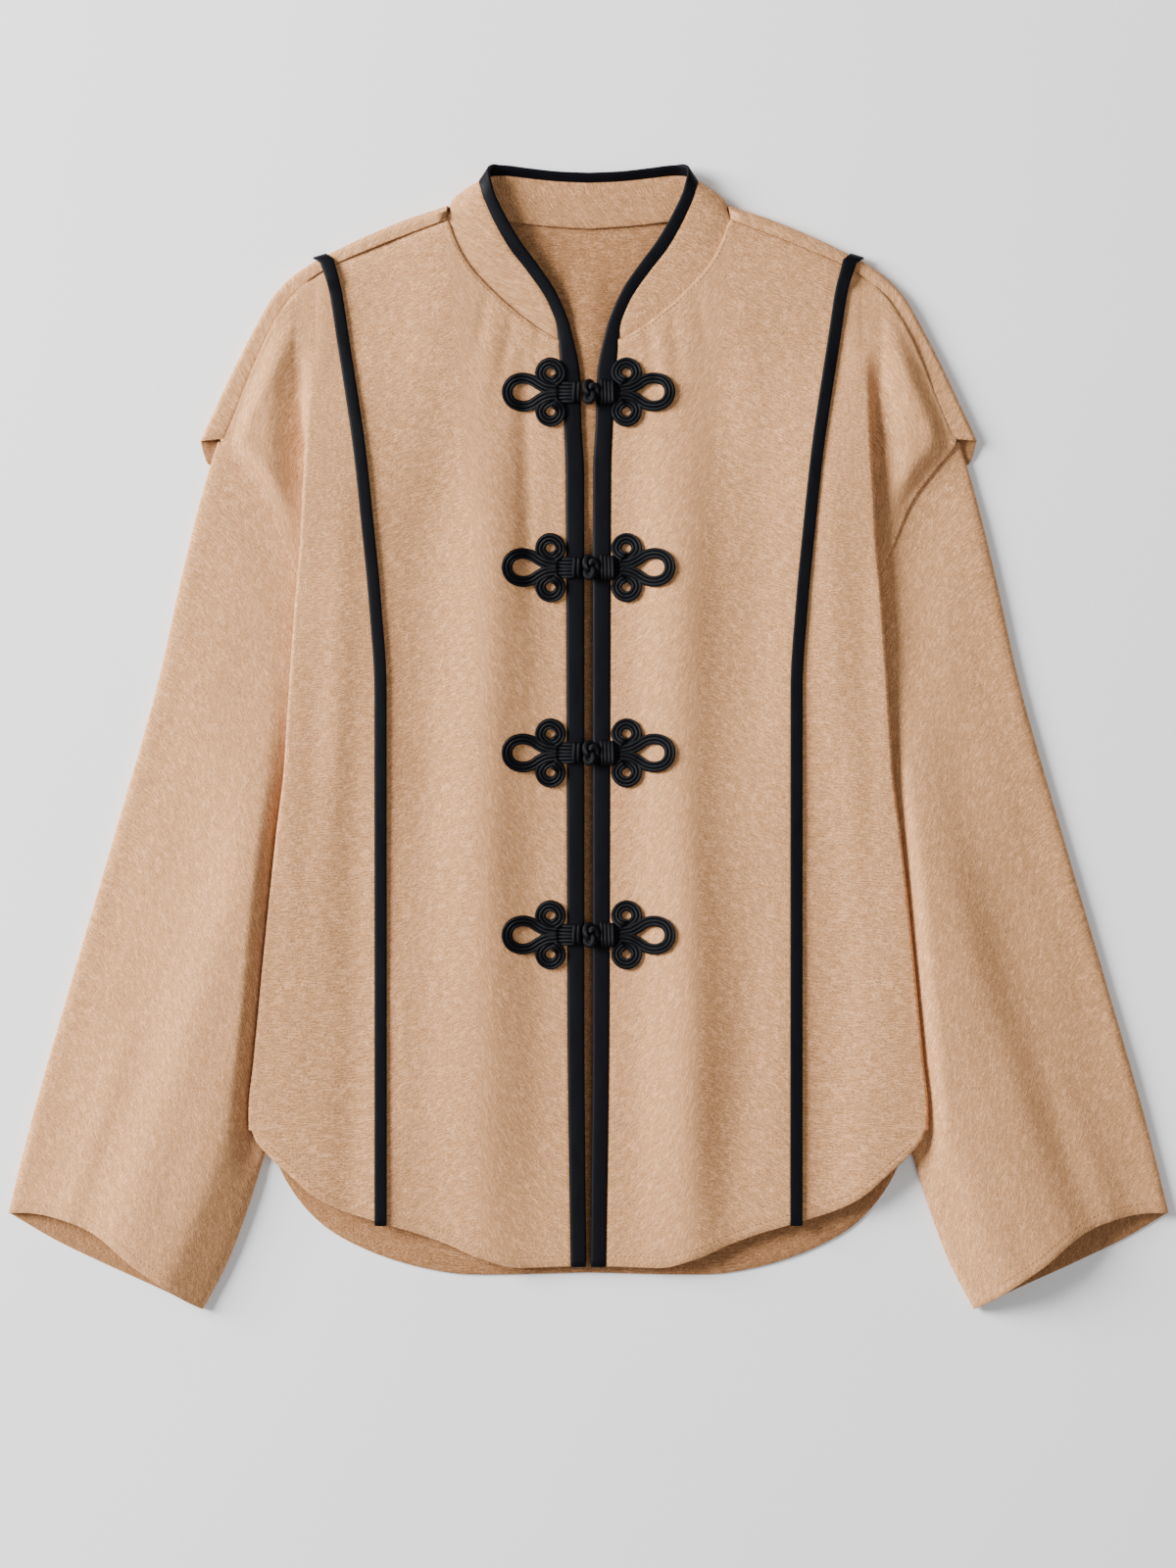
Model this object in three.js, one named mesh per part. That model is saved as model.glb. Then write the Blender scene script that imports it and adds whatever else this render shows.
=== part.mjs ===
// Mandarin collar blouse, laid flat with its back on the surface and its front up.
// Millimetres. +Z is up from the surface, +Y runs toward the collar, and +X is the wearer's left.
// Each panel is a thin wall. Panels overlap at the seams as sewn laps do, 0.3 mm apart.
import * as THREE from 'three';

// Driving dimensions
const CLOTH = 1.2;
const COLLAR_CLOTH = 1.8;
const BINDING = 2.4;
const TAPE = 1.4;
const SEAM_GAP = 0.3;
const LAP = 2;
const FROG_THICK = 3;
const FRONT_LEVEL = 5.8;
const FLOOR_LEVEL = CLOTH / 2;
const STEP_UP = CLOTH + SEAM_GAP;
const NECK_LIFT = 4;
const NECK_REACH = 45;
const UNDERARM_Y = -20;
const FOLD_ARC = 4.7;
const TAPE_WIDTH = 7;
const FROG_Y = [218, 107.3, -9.6, -124.3];
const FROG_LEVEL = FRONT_LEVEL + BINDING / 2 + SEAM_GAP;
const KNOT = { wide: 4.5, high: 8.5, deep: 3.5 };

// Where the front starts to rise toward its side fold, and the side of the neck that it rises round
const RAMP_FROM = 60;
const RAMP_DOWN = 8;
const NECK_SIDE = { x: 80, y: 325 };

// How far the under layer of the shoulder fold reaches past its upper one at the cap
const EAR = { x: 1.6, y: 13, rows: [0, 0, 0, 0, 0, 0, 0, 0, 0, 0.1, 1] };

// Spans in which the shoulder seam and the hem lie
const SHOULDER_SPAN = { low: 150, high: 310 };
const HEM_SPAN = { low: -336, high: -200 };

// Colours
const CAMEL = { color: 0xcbab8d, roughness: 0.92, metalness: 0 };
const BLACK = { color: 0x14161c, roughness: 0.55, metalness: 0 };

// Forward shoulder seam and the shoulder fold outside it, from the neck to the cap
const SHOULDER = [
  { seamX: 89.7, seamY: 326.7, edgeX: 89.4, edgeY: 335.7 },
  { seamX: 113, seamY: 318.2, edgeX: 114.5, edgeY: 327.5 },
  { seamX: 137, seamY: 308.8, edgeX: 139.5, edgeY: 317.3 },
  { seamX: 160, seamY: 299, edgeX: 163.4, edgeY: 305.9 },
  { seamX: 174, seamY: 290.8, edgeX: 178.5, edgeY: 297.6 },
  { seamX: 184, seamY: 282, edgeX: 190, edgeY: 289 },
  { seamX: 193.5, seamY: 270.5, edgeX: 200.2, edgeY: 277.6 },
  { seamX: 203.5, seamY: 252.5, edgeX: 211.4, edgeY: 257.8 },
  { seamX: 213, seamY: 231, edgeX: 222.4, edgeY: 236.6 },
  { seamX: 222, seamY: 209, edgeX: 233.8, edgeY: 212.5 },
  { seamX: 230.3, seamY: 189, edgeX: 245.4, edgeY: 187.4 },
];

// Half of the neckline: the seam at the body, the collar's bound edge and the binding's free edge,
// from the front end to the side of the neck, round the collar's side fold, and on to the centre back
const COLLAR_FRONT = [
  { seamX: 20.4, seamY: 251.4, topX: 19, topY: 249.6, topZ: 4.1, freeX: 10, freeY: 249.8, freeZ: 4.8 },
  { seamX: 25, seamY: 254.2, topX: 19.8, topY: 257, topZ: 4.9, freeX: 11.8, freeY: 257.8, freeZ: 5.6 },
  { seamX: 32.3, seamY: 258.5, topX: 21.5, topY: 265, topZ: 5.9, freeX: 14.7, freeY: 266.8, freeZ: 6.6 },
  { seamX: 46.3, seamY: 268.9, topX: 28.2, topY: 279.4, topZ: 7.4, freeX: 22.4, freeY: 283.3, freeZ: 8.2 },
  { seamX: 61.9, seamY: 282.8, topX: 39.4, topY: 295.1, topZ: 8.8, freeX: 33.8, freeY: 299.6, freeZ: 9.8 },
  { seamX: 76, seamY: 298.5, topX: 49.6, topY: 308, topZ: 10.2, freeX: 43.3, freeY: 312.3, freeZ: 11.2 },
  { seamX: 84.6, seamY: 314.3, topX: 58.6, topY: 323.4, topZ: 11.6, freeX: 52, freeY: 326.8, freeZ: 12.6 },
  { seamX: 88.6, seamY: 326, topX: 65.6, topY: 338.6, topZ: 12.6, freeX: 58.9, freeY: 340.8, freeZ: 13.6 },
];
const COLLAR_TURN = [
  { angle: 75, topX: 67.6, topY: 345.2, topZ: 12.3, freeX: 61.2, freeY: 348, freeZ: 13.8 },
  { angle: 40, topX: 68.6, topY: 348.8, topZ: 10.6, freeX: 62.4, freeY: 353.4, freeZ: 13 },
  { angle: 0, topX: 68.3, topY: 350.6, topZ: 8.4, freeX: 62.8, freeY: 357.6, freeZ: 11.6 },
  { angle: -40, topX: 66.2, topY: 352.4, topZ: 6, freeX: 61.9, freeY: 360, freeZ: 9.4 },
  { angle: -75, topX: 62.4, topY: 354.6, topZ: 4.4, freeX: 59.4, freeY: 361.2, freeZ: 7.6 },
];
const COLLAR_BACK = [
  { seamX: 76, seamY: 333, topX: 57.6, topY: 355.4, freeX: 56, freeY: 360.9, freeZ: 6.4 },
  { seamX: 68, seamY: 330.3, topX: 50, topY: 355.2, freeX: 48.6, freeY: 360.4, freeZ: 5.9 },
  { seamX: 52, seamY: 328.5, topX: 39, topY: 353.8, freeX: 38, freeY: 359, freeZ: 5.6 },
  { seamX: 27, seamY: 325.8, topX: 20, topY: 351.8, freeX: 19.6, freeY: 357, freeZ: 5.4 },
  { seamX: 0, seamY: 324, topX: 0, topY: 350.9, freeX: 0, freeY: 356.2, freeZ: 5.3 },
];

// Round of the collar's base at the side of the neck, from the corner of the shoulder fold
const NECK_ROUND = { x: -4, y: 1.6, wide: 2 };

// Front opening: edge of the panel and free edge of the binding, hem to collar
const OPENING = [
  { y: -340, panelX: 10.4, freeX: 2 },
  { y: -178, panelX: 12.5, freeX: 3.3 },
  { y: 60, panelX: 13.2, freeX: 3.3 },
  { y: 166, panelX: 13.6, freeX: 3.4 },
  { y: 200, panelX: 14.8, freeX: 5.2 },
  { y: 228, panelX: 16.4, freeX: 5.9 },
  { y: 242, panelX: 17.4, freeX: 7.9 },
  { y: 248.4, panelX: 17.9, freeX: 9.5 },
  { y: 340, panelX: 18.6, freeX: 14 },
];

// Princess seam, hem to shoulder
const PRINCESS = [
  { y: -345, x: 131 },
  { y: 30, x: 131 },
  { y: 84, x: 134.3 },
  { y: 129, x: 138.5 },
  { y: 181, x: 144 },
  { y: 251, x: 154.8 },
  { y: 284, x: 160 },
  { y: 297, x: 164 },
  { y: 304, x: 166.6 },
];

// The fold of the front over the sleeve: where its edge lies, the turn of the cloth in degrees,
// the depth of the tuck, the turn back below it, and the armhole seam that it leads to
const SIDE_FOLD = [
  { y: -262, edgeX: 213.2, turn: 178, depth: 9, back: 80, seamX: 204 },
  { y: -236, edgeX: 213.6, turn: 178, depth: 13.8, back: 82, seamX: 197 },
  { y: -203, edgeX: 210.4, turn: 178, depth: 19.6, back: 84, seamX: 188 },
  { y: -153, edgeX: 205.7, turn: 178, depth: 28.6, back: 86, seamX: 174 },
  { y: -106, edgeX: 201, turn: 178, depth: 36.4, back: 88, seamX: 161 },
  { y: -60, edgeX: 196, turn: 178, depth: 44, back: 90, seamX: 149 },
  { y: -20, edgeX: 191.2, turn: 178, depth: 50, back: 90, seamX: 138 },
  { y: 0, edgeX: 190, turn: 178, depth: 46, back: 150, seamX: 143.5 },
  { y: 20, edgeX: 188.8, turn: 178, depth: 42, back: 178, seamX: 152 },
  { y: 61, edgeX: 186, turn: 177, depth: 33, back: 177, seamX: 168 },
  { y: 101, edgeX: 183, turn: 176, depth: 22, back: 176, seamX: 183.4 },
  { y: 119, edgeX: 181.2, turn: 173, depth: 17, back: 173, seamX: 191.3 },
  { y: 149, edgeX: 179.6, turn: 158, depth: 9, back: 158, seamX: 204 },
  { y: 171, edgeX: 178.5, turn: 130, depth: 4, back: 130, seamX: 220 },
  { y: 187, edgeX: 178, turn: 105, depth: 3, back: 105, seamX: 232 },
  { y: 211, edgeX: 178, turn: 60, depth: 2.5, back: 60, seamX: 234 },
  { y: 233, edgeX: 177, turn: 24, depth: 2.5, back: 24, seamX: 234 },
  { y: 250, edgeX: 177, turn: 1, depth: 2.5, back: 1, seamX: 234 },
  { y: 340, edgeX: 177, turn: 1, depth: 2.5, back: 1, seamX: 234 },
];

// Front hem and back hem, from the side to the centre
const FRONT_HEM = [
  { x: -40, y: -334 }, { x: 10, y: -333.5 }, { x: 44, y: -334.3 }, { x: 69, y: -328 },
  { x: 89, y: -319.5 }, { x: 109, y: -312.3 }, { x: 128.7, y: -306.5 }, { x: 158, y: -297 },
  { x: 173, y: -289 }, { x: 186, y: -277.5 }, { x: 203.5, y: -261 }, { x: 209, y: -254.5 },
  { x: 212.6, y: -247 }, { x: 260, y: -246 },
];
const BACK_HEM = [
  { x: 0, y: -337.7 }, { x: 69, y: -339 }, { x: 87, y: -338 }, { x: 114, y: -332.5 },
  { x: 140, y: -323.5 }, { x: 163.5, y: -311 }, { x: 178, y: -298 }, { x: 191, y: -280 },
  { x: 197.8, y: -264 }, { x: 199, y: -252 },
];

// Outer edge of the back: armhole from the cap to the underarm, then the side seam to the hem
const BACK_SIDE = [
  { y: 173.5, x: 239 }, { y: 160, x: 234.8 }, { y: 128, x: 224 }, { y: 88, x: 206 },
  { y: 45, x: 181 }, { y: 10, x: 157 }, { y: -22, x: 139.6 }, { y: -60, x: 149.6 },
  { y: -106, x: 161.8 }, { y: -153, x: 174.4 }, { y: -203, x: 187.8 }, { y: -232, x: 195 },
  { y: -252, x: 199 },
];

// Sleeve: outer edge, underarm fold, armhole lines that it is sewn to, and both cuff edges
const SLEEVE_OUTER = [
  { x: 234.7, y: 183.5 }, { x: 243.4, y: 155 }, { x: 257, y: 100 }, { x: 272, y: 33 },
  { x: 300, y: -65 }, { x: 328, y: -160 }, { x: 350.7, y: -239 }, { x: 366, y: -300 },
];
const SLEEVE_INNER = [
  { x: 143, y: -31 }, { x: 157.4, y: -85 }, { x: 172.8, y: -142 }, { x: 189, y: -203 },
  { x: 205, y: -262 }, { x: 218.5, y: -305 }, { x: 230, y: -334 }, { x: 244, y: -360.5 },
];
const FRONT_ARMHOLE = [
  { x: 234.7, y: 183.5 }, { x: 220, y: 171.4 }, { x: 204, y: 149 }, { x: 191.3, y: 119 },
  { x: 183.4, y: 101 }, { x: 168, y: 61 }, { x: 156, y: 20 }, { x: 143, y: -31 },
];
const BACK_ARMHOLE = [
  { x: 234.7, y: 183.5 }, { x: 234.3, y: 160 }, { x: 224, y: 128 }, { x: 206, y: 88 },
  { x: 181, y: 45 }, { x: 161, y: 6 }, { x: 143, y: -31 },
];
const FRONT_CUFF = [
  { x: 366, y: -300 }, { x: 353, y: -300 }, { x: 337, y: -302.5 }, { x: 318, y: -309 },
  { x: 305.5, y: -316.5 }, { x: 287, y: -332 }, { x: 270, y: -344 }, { x: 256, y: -353.5 },
  { x: 244, y: -360.5 },
];
const BACK_CUFF = [
  { x: 366, y: -300 }, { x: 339, y: -316 }, { x: 306, y: -332 }, { x: 273, y: -347 },
  { x: 244, y: -360.5 },
];

// Smooth curve through a table's rows, read as one column against another
function column(rows, at, name) {
  const slope = (i) => {
    if (i === 0 || i === rows.length - 1) return null;
    const before = (rows[i][name] - rows[i - 1][name]) / (rows[i][at] - rows[i - 1][at]);
    const after = (rows[i + 1][name] - rows[i][name]) / (rows[i + 1][at] - rows[i][at]);
    if (before * after <= 0) return 0;
    return (2 * before * after) / (before + after);
  };
  return (value) => {
    let i = 0;
    while (i < rows.length - 2 && value > rows[i + 1][at]) i += 1;
    const start = rows[i];
    const end = rows[i + 1];
    const span = end[at] - start[at];
    const chord = (end[name] - start[name]) / span;
    const t = THREE.MathUtils.clamp((value - start[at]) / span, 0, 1);
    const m0 = (slope(i) ?? chord) * span;
    const m1 = (slope(i + 1) ?? chord) * span;
    const t2 = t * t;
    const t3 = t2 * t;
    return (2 * t3 - 3 * t2 + 1) * start[name] + (t3 - 2 * t2 + t) * m0
      + (3 * t2 - 2 * t3) * end[name] + (t3 - t2) * m1;
  };
}

// A table's x and y as a plane curve
function route(table) {
  const points = table.map((row) => new THREE.Vector3(row.x, row.y, 0));
  return new THREE.CatmullRomCurve3(points, false, 'centripetal');
}

function spread(count, start = 0, end = 1) {
  return Array.from({ length: count + 1 }, (_, i) => start + ((end - start) * i) / count);
}

// Closed wall of even thickness about a grid of points on its middle surface
function wall(grid, thickness, tube = false) {
  const rows = grid.length;
  const cols = grid[0].length;
  const at = (i, j) => grid[i][tube ? (j + cols) % cols : THREE.MathUtils.clamp(j, 0, cols - 1)];
  const skins = [[], []];
  for (let i = 0; i < rows; i += 1) {
    for (let j = 0; j < cols; j += 1) {
      const along = at(i, j + 1).clone().sub(at(i, j - 1)).normalize();
      const down = at(Math.min(i + 1, rows - 1), j).clone().sub(at(Math.max(i - 1, 0), j));
      const normal = along.cross(down.normalize()).normalize();
      skins[0].push(at(i, j).clone().addScaledVector(normal, thickness / 2));
      skins[1].push(at(i, j).clone().addScaledVector(normal, -thickness / 2));
    }
  }
  const id = (skin, i, j) => skin * rows * cols + i * cols + (tube ? (j + cols) % cols : j);
  const faces = [];
  const quad = (a, b, c, d) => faces.push(a, b, c, a, c, d);
  const spans = tube ? cols : cols - 1;
  for (let i = 0; i < rows - 1; i += 1) {
    for (let j = 0; j < spans; j += 1) {
      quad(id(0, i, j), id(0, i, j + 1), id(0, i + 1, j + 1), id(0, i + 1, j));
      quad(id(1, i, j), id(1, i + 1, j), id(1, i + 1, j + 1), id(1, i, j + 1));
    }
  }
  for (let j = 0; j < spans; j += 1) {
    quad(id(0, 0, j), id(1, 0, j), id(1, 0, j + 1), id(0, 0, j + 1));
    quad(id(0, rows - 1, j + 1), id(1, rows - 1, j + 1), id(1, rows - 1, j), id(0, rows - 1, j));
  }
  if (!tube) {
    for (let i = 0; i < rows - 1; i += 1) {
      quad(id(0, i, 0), id(0, i + 1, 0), id(1, i + 1, 0), id(1, i, 0));
      quad(id(0, i + 1, cols - 1), id(0, i, cols - 1), id(1, i, cols - 1), id(1, i + 1, cols - 1));
    }
  }
  const geometry = new THREE.BufferGeometry();
  const places = [...skins[0], ...skins[1]].flatMap((p) => [p.x, p.y, p.z]);
  geometry.setAttribute('position', new THREE.Float32BufferAttribute(places, 3));
  geometry.setIndex(faces);
  return geometry;
}

// The same piece for the wearer's other side
function mirrored(geometry) {
  const copy = geometry.clone();
  copy.scale(-1, 1, 1);
  const index = copy.index.array;
  for (let i = 0; i < index.length; i += 3) {
    [index[i + 1], index[i + 2]] = [index[i + 2], index[i + 1]];
  }
  return copy;
}

// Levels of the front
const foldOf = Object.fromEntries(
  ['edgeX', 'turn', 'depth', 'back', 'seamX'].map((name) => [name, column(SIDE_FOLD, 'y', name)]),
);
const princessX = column(PRINCESS, 'y', 'x');
const panelX = column(OPENING, 'y', 'panelX');
const freeX = column(OPENING, 'y', 'freeX');
const frontHemY = column(FRONT_HEM, 'x', 'y');
const shoulderY = column(SHOULDER, 'seamX', 'seamY');
const neckY = column(COLLAR_FRONT, 'seamX', 'seamY');

function foldTurn(y) {
  return THREE.MathUtils.degToRad(foldOf.turn(y));
}

function foldDrop(y) {
  const turn = foldTurn(y);
  return (2 * FOLD_ARC * (1 - Math.cos(turn))) / turn + foldOf.depth(y) * Math.sin(turn);
}

function neckLift(x, y) {
  const apart = (x - NECK_SIDE.x) ** 2 + (y - NECK_SIDE.y) ** 2;
  return NECK_LIFT * Math.exp(-apart / (2 * NECK_REACH ** 2));
}

function frontZ(x, y) {
  const edge = foldOf.edgeX(y);
  const ramp = THREE.MathUtils.smoothstep(Math.abs(x), RAMP_FROM, edge - FOLD_ARC);
  const beyond = THREE.MathUtils.smoothstep(Math.abs(x), edge, edge + RAMP_DOWN);
  return FRONT_LEVEL + foldDrop(y) * ramp * (1 - beyond) + neckLift(Math.abs(x), y);
}

// Section of the side front at one height: out to the fold, round it, under, and on to the seam.
// The last part lies flat up at the armhole, and stands on the edge of the back below the underarm.
const SECTION = { flat: 5, fold: 4, under: 2, back: 4, end: 3 };
const LYING = { above: 100, fromTurn: 95, toTurn: 150, least: 2 };
function sideSection(y) {
  const turn = foldTurn(y);
  const back = THREE.MathUtils.degToRad(foldOf.back(y));
  const reach = turn > Math.PI / 2 ? FOLD_ARC / turn : (FOLD_ARC / turn) * Math.sin(turn);
  const first = princessX(y) + SEAM_GAP / 2;
  const points = spread(SECTION.flat, first, foldOf.edgeX(y) - reach)
    .map((x) => new THREE.Vector3(x, y, frontZ(x, y)));
  const pen = points[points.length - 1].clone();
  let heading = 0;
  const walk = (steps, length, turning) => {
    for (let i = 0; i < steps; i += 1) {
      heading += turning / steps / 2;
      pen.x += (Math.cos(heading) * length) / steps;
      pen.z += (Math.sin(heading) * length) / steps;
      heading += turning / steps / 2;
      points.push(pen.clone());
    }
  };
  walk(SECTION.fold, FOLD_ARC, -turn);
  walk(SECTION.under, foldOf.depth(y), 0);
  walk(SECTION.back, FOLD_ARC, back);
  const standing = CLOTH + 3 * SEAM_GAP;
  const turned = THREE.MathUtils.smoothstep(foldOf.back(y), LYING.fromTurn, LYING.toTurn);
  const lying = y > LYING.above ? 1 : turned;
  const sideways = Math.max(foldOf.seamX(y) - pen.x, LYING.least);
  const length = THREE.MathUtils.lerp(pen.z - standing, sideways, lying);
  const end = new THREE.Vector3(pen.x + length * lying, y, THREE.MathUtils.lerp(standing, pen.z, lying));
  spread(SECTION.end).slice(1).forEach((t) => points.push(pen.clone().lerp(end, t)));
  return points;
}

// Rows of the fronts, from the top to the hem, with one row at the underarm
const ROWS_ABOVE = 11;
const ROWS_BELOW = 11;
const CAP_Y = 186;
const HEM_SIDE_Y = -246;
const UNDERARM_SHARE = (CAP_Y - UNDERARM_Y) / (CAP_Y - HEM_SIDE_Y);
const rowShares = [
  ...spread(ROWS_ABOVE, 0, UNDERARM_SHARE),
  ...spread(ROWS_BELOW, UNDERARM_SHARE, 1).slice(1),
];

// Height at which a line x(y) meets a curve y(x)
const HALVINGS = 30;
function meet(xOf, yOf, span) {
  let { low, high } = span;
  for (let i = 0; i < HALVINGS; i += 1) {
    const y = (low + high) / 2;
    if (y < yOf(xOf(y))) low = y;
    else high = y;
  }
  return (low + high) / 2;
}

function sideFrontGrid() {
  const count = Object.values(SECTION).reduce((sum, n) => sum + n, 0);
  const ends = spread(count).map((_, j) => {
    const xOf = (y) => sideSection(y)[j].x;
    return { top: meet(xOf, shoulderY, SHOULDER_SPAN), hem: meet(xOf, frontHemY, HEM_SPAN) };
  });
  return rowShares.map((share) => ends.map((end, j) => {
    const y = THREE.MathUtils.lerp(end.top, end.hem, share);
    return sideSection(y)[j];
  }));
}

const CENTRE_TOPS = [18.9, 30, 44, 60, 75, 84, SHOULDER[0].seamX, 112, 140];
const PRINCESS_TOP_Y = 294;
function centreFrontGrid() {
  const corner = SHOULDER[0].seamX;
  const tops = [...CENTRE_TOPS, princessX(PRINCESS_TOP_Y) - SEAM_GAP / 2];
  const edgeTop = { x: tops[0], y: neckY(tops[0]) };
  const columns = tops.map((x, k) => {
    const isLast = k === tops.length - 1;
    const topY = x < corner ? neckY(x) : shoulderY(x);
    const inner = panelX(topY) + SEAM_GAP;
    const share = isLast ? 1 : (x - inner) / (princessX(topY) - SEAM_GAP / 2 - inner);
    const xOf = (y) => {
      const left = panelX(Math.min(y, edgeTop.y)) + SEAM_GAP;
      return THREE.MathUtils.lerp(left, princessX(y) - SEAM_GAP / 2, Math.max(share, 0));
    };
    const top = isLast ? meet(xOf, shoulderY, SHOULDER_SPAN) : topY;
    return { xOf, top, hem: meet(xOf, frontHemY, HEM_SPAN) };
  });
  return rowShares.map((share) => columns.map(({ xOf, top, hem }) => {
    const y = THREE.MathUtils.lerp(top, hem, share);
    const x = xOf(y);
    return new THREE.Vector3(x, y, frontZ(x, y));
  }));
}

// Shoulder fold: the back comes up round it and ends in a strip on top of the front
const ROUND = [-90, -45, 0, 45, 90].map((degrees) => THREE.MathUtils.degToRad(degrees));
const STRIP_LEAST = 0.5;
function shoulderFold(row, k = -1) {
  const seam = new THREE.Vector2(row.seamX, row.seamY);
  const edge = new THREE.Vector2(row.edgeX, row.edgeY);
  const out = edge.clone().sub(seam).normalize();
  const topZ = frontZ(row.seamX, row.seamY) + STEP_UP;
  const radius = (topZ - FLOOR_LEVEL) / 2;
  const wide = Math.min(radius, edge.distanceTo(seam) - CLOTH / 2 - LAP - STRIP_LEAST);
  const centre = edge.clone().addScaledVector(out, -CLOTH / 2 - wide);
  const ear = new THREE.Vector2(EAR.x, EAR.y).multiplyScalar(EAR.rows[k] ?? 0);
  return { seam, out, topZ, radius, wide, centre, ear, midZ: FLOOR_LEVEL + radius };
}

function foldPoint({ centre, out, radius, wide, midZ, ear }, angle) {
  const plan = centre.clone().addScaledVector(out, wide * Math.cos(angle));
  if (ear) plan.addScaledVector(ear, Math.min(Math.sin(angle), 0));
  return new THREE.Vector3(plan.x, plan.y, midZ + radius * Math.sin(angle));
}

// Patch between four edges, each a list of plan points
function coons(left, right, top, bottom) {
  const rows = left.length - 1;
  const cols = top.length - 1;
  return left.map((_, i) => top.map((__, j) => {
    const v = i / rows;
    const u = j / cols;
    const mix = (key) => (1 - u) * left[i][key] + u * right[i][key]
      + (1 - v) * top[j][key] + v * bottom[j][key]
      - ((1 - u) * (1 - v) * top[0][key] + u * (1 - v) * top[cols][key]
      + (1 - u) * v * bottom[0][key] + u * v * bottom[cols][key]);
    return new THREE.Vector3(mix('x'), mix('y'), FLOOR_LEVEL);
  }));
}

const NECK_STATIONS = [0, 27, 52, 70, 84];
const BENDS = [{ round: 0.3, along: 0.8 }, { round: 0.65, along: 0.93 }];
const STEP = 0.4;
function backGrid() {
  const neckLine = column([...COLLAR_BACK].reverse(), 'seamX', 'seamY');
  const neck = NECK_STATIONS.map((x) => new THREE.Vector2(x, neckLine(x)));
  const folds = SHOULDER.map((row, k) => shoulderFold(row, k));
  const floorTops = [
    ...neck,
    ...BENDS.map(({ along }) => neck[neck.length - 1].clone().lerp(folds[0].centre, along)),
    ...folds.map(({ centre, ear }) => centre.clone().sub(ear)),
  ];
  const half = floorTops.length - 1;
  const last = floorTops[half];
  const side = [...BACK_SIDE];
  side[0] = { x: last.x, y: last.y };
  const rows = side.length - 1;
  const hem = route(BACK_HEM);
  const centre = spread(rows).map((v) => ({ x: 0, y: THREE.MathUtils.lerp(neck[0].y, BACK_HEM[0].y, v) }));
  const floor = coons(centre, side, floorTops, hem.getSpacedPoints(half));
  const halfGrid = floor.reverse();
  const bent = neck.length + BENDS.length;
  ROUND.slice(1).forEach((angle, step) => {
    halfGrid.push(floorTops.map((point, k) => {
      if (k < neck.length) return new THREE.Vector3(point.x, point.y + STEP * (step + 1), FLOOR_LEVEL);
      if (k >= bent) return foldPoint(folds[k - bent], angle);
      const turned = THREE.MathUtils.lerp(-Math.PI / 2, angle, BENDS[k - neck.length].round);
      return foldPoint({ ...folds[0], centre: point }, turned);
    }));
  });
  halfGrid.push(floorTops.map((point, k) => {
    if (k >= bent) {
      const { seam, topZ } = folds[k - bent];
      return new THREE.Vector3(seam.x, seam.y, topZ);
    }
    const before = halfGrid[halfGrid.length - 1][k];
    const earlier = halfGrid[halfGrid.length - 2][k];
    return before.clone().add(before.clone().sub(earlier).setLength(STEP));
  }));
  return halfGrid.map((row) => [
    ...row.slice(1).reverse().map((p) => new THREE.Vector3(-p.x, p.y, p.z)),
    ...row,
  ]);
}

// Collar: from the front end of one side round the back of the neck to the other
function collarHalf() {
  const drop = CLOTH / 2 + 2.2 * SEAM_GAP + COLLAR_CLOTH / 2;
  const backZ = CLOTH + SEAM_GAP + COLLAR_CLOTH / 2;
  const freeOf = (row) => new THREE.Vector3(row.freeX, row.freeY, row.freeZ);
  const front = COLLAR_FRONT.map((row) => {
    const base = new THREE.Vector3(row.seamX, row.seamY, frontZ(row.seamX, row.seamY) - drop);
    const top = new THREE.Vector3(row.topX, row.topY, row.topZ);
    base.add(base.clone().sub(top).setZ(0).setLength(LAP));
    return { base, top, free: freeOf(row) };
  });
  const corner = shoulderFold(SHOULDER[0]);
  const high = front[front.length - 1].base.z;
  const round = {
    centre: corner.centre.clone().add(new THREE.Vector2(NECK_ROUND.x, NECK_ROUND.y)),
    out: corner.out,
    wide: NECK_ROUND.wide,
    radius: (high - backZ) / 2,
    midZ: (high + backZ) / 2,
  };
  const turn = COLLAR_TURN.map((row) => ({
    base: foldPoint(round, THREE.MathUtils.degToRad(row.angle)),
    top: new THREE.Vector3(row.topX, row.topY, row.topZ),
    free: freeOf(row),
  }));
  const behind = COLLAR_BACK.map((row) => {
    const base = new THREE.Vector3(row.seamX, row.seamY, backZ);
    const top = new THREE.Vector3(row.topX, row.topY, backZ);
    base.add(base.clone().sub(top).setLength(LAP));
    return { base, top, free: freeOf(row) };
  });
  return [...front, ...turn, ...behind];
}

// A half row of places, carried on to the other side of the garment
function bothWays(half) {
  const flip = (p) => new THREE.Vector3(-p.x, p.y, p.z);
  return [...half, ...half.slice(0, -1).reverse().map((row) => row.map(flip))];
}

function collarGrid() {
  const lines = bothWays(collarHalf().map(({ base, top }) => [base, top]));
  return lines.map(([base, top]) => spread(3).map((t) => base.clone().lerp(top, t)));
}

// Binding: up the front edge, along the collar's top and down the other side
const BINDING_ROWS = 24;
const BINDING_TURN_Y = 245;
function bindingGrid() {
  const up = spread(BINDING_ROWS, frontHemY(OPENING[0].panelX), BINDING_TURN_Y).map((y) => {
    const outer = new THREE.Vector3(panelX(y), y, frontZ(panelX(y), y));
    return [outer, new THREE.Vector3(freeX(y), y, outer.z)];
  });
  const round = collarHalf().slice(1).map(({ top, free }) => {
    const away = free.clone().sub(top).setLength(2.5 * SEAM_GAP);
    return [top.clone().add(away), free];
  });
  return bothWays([...up, ...round]).map(([a, b]) => spread(2).map((t) => a.clone().lerp(b, t)));
}

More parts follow.
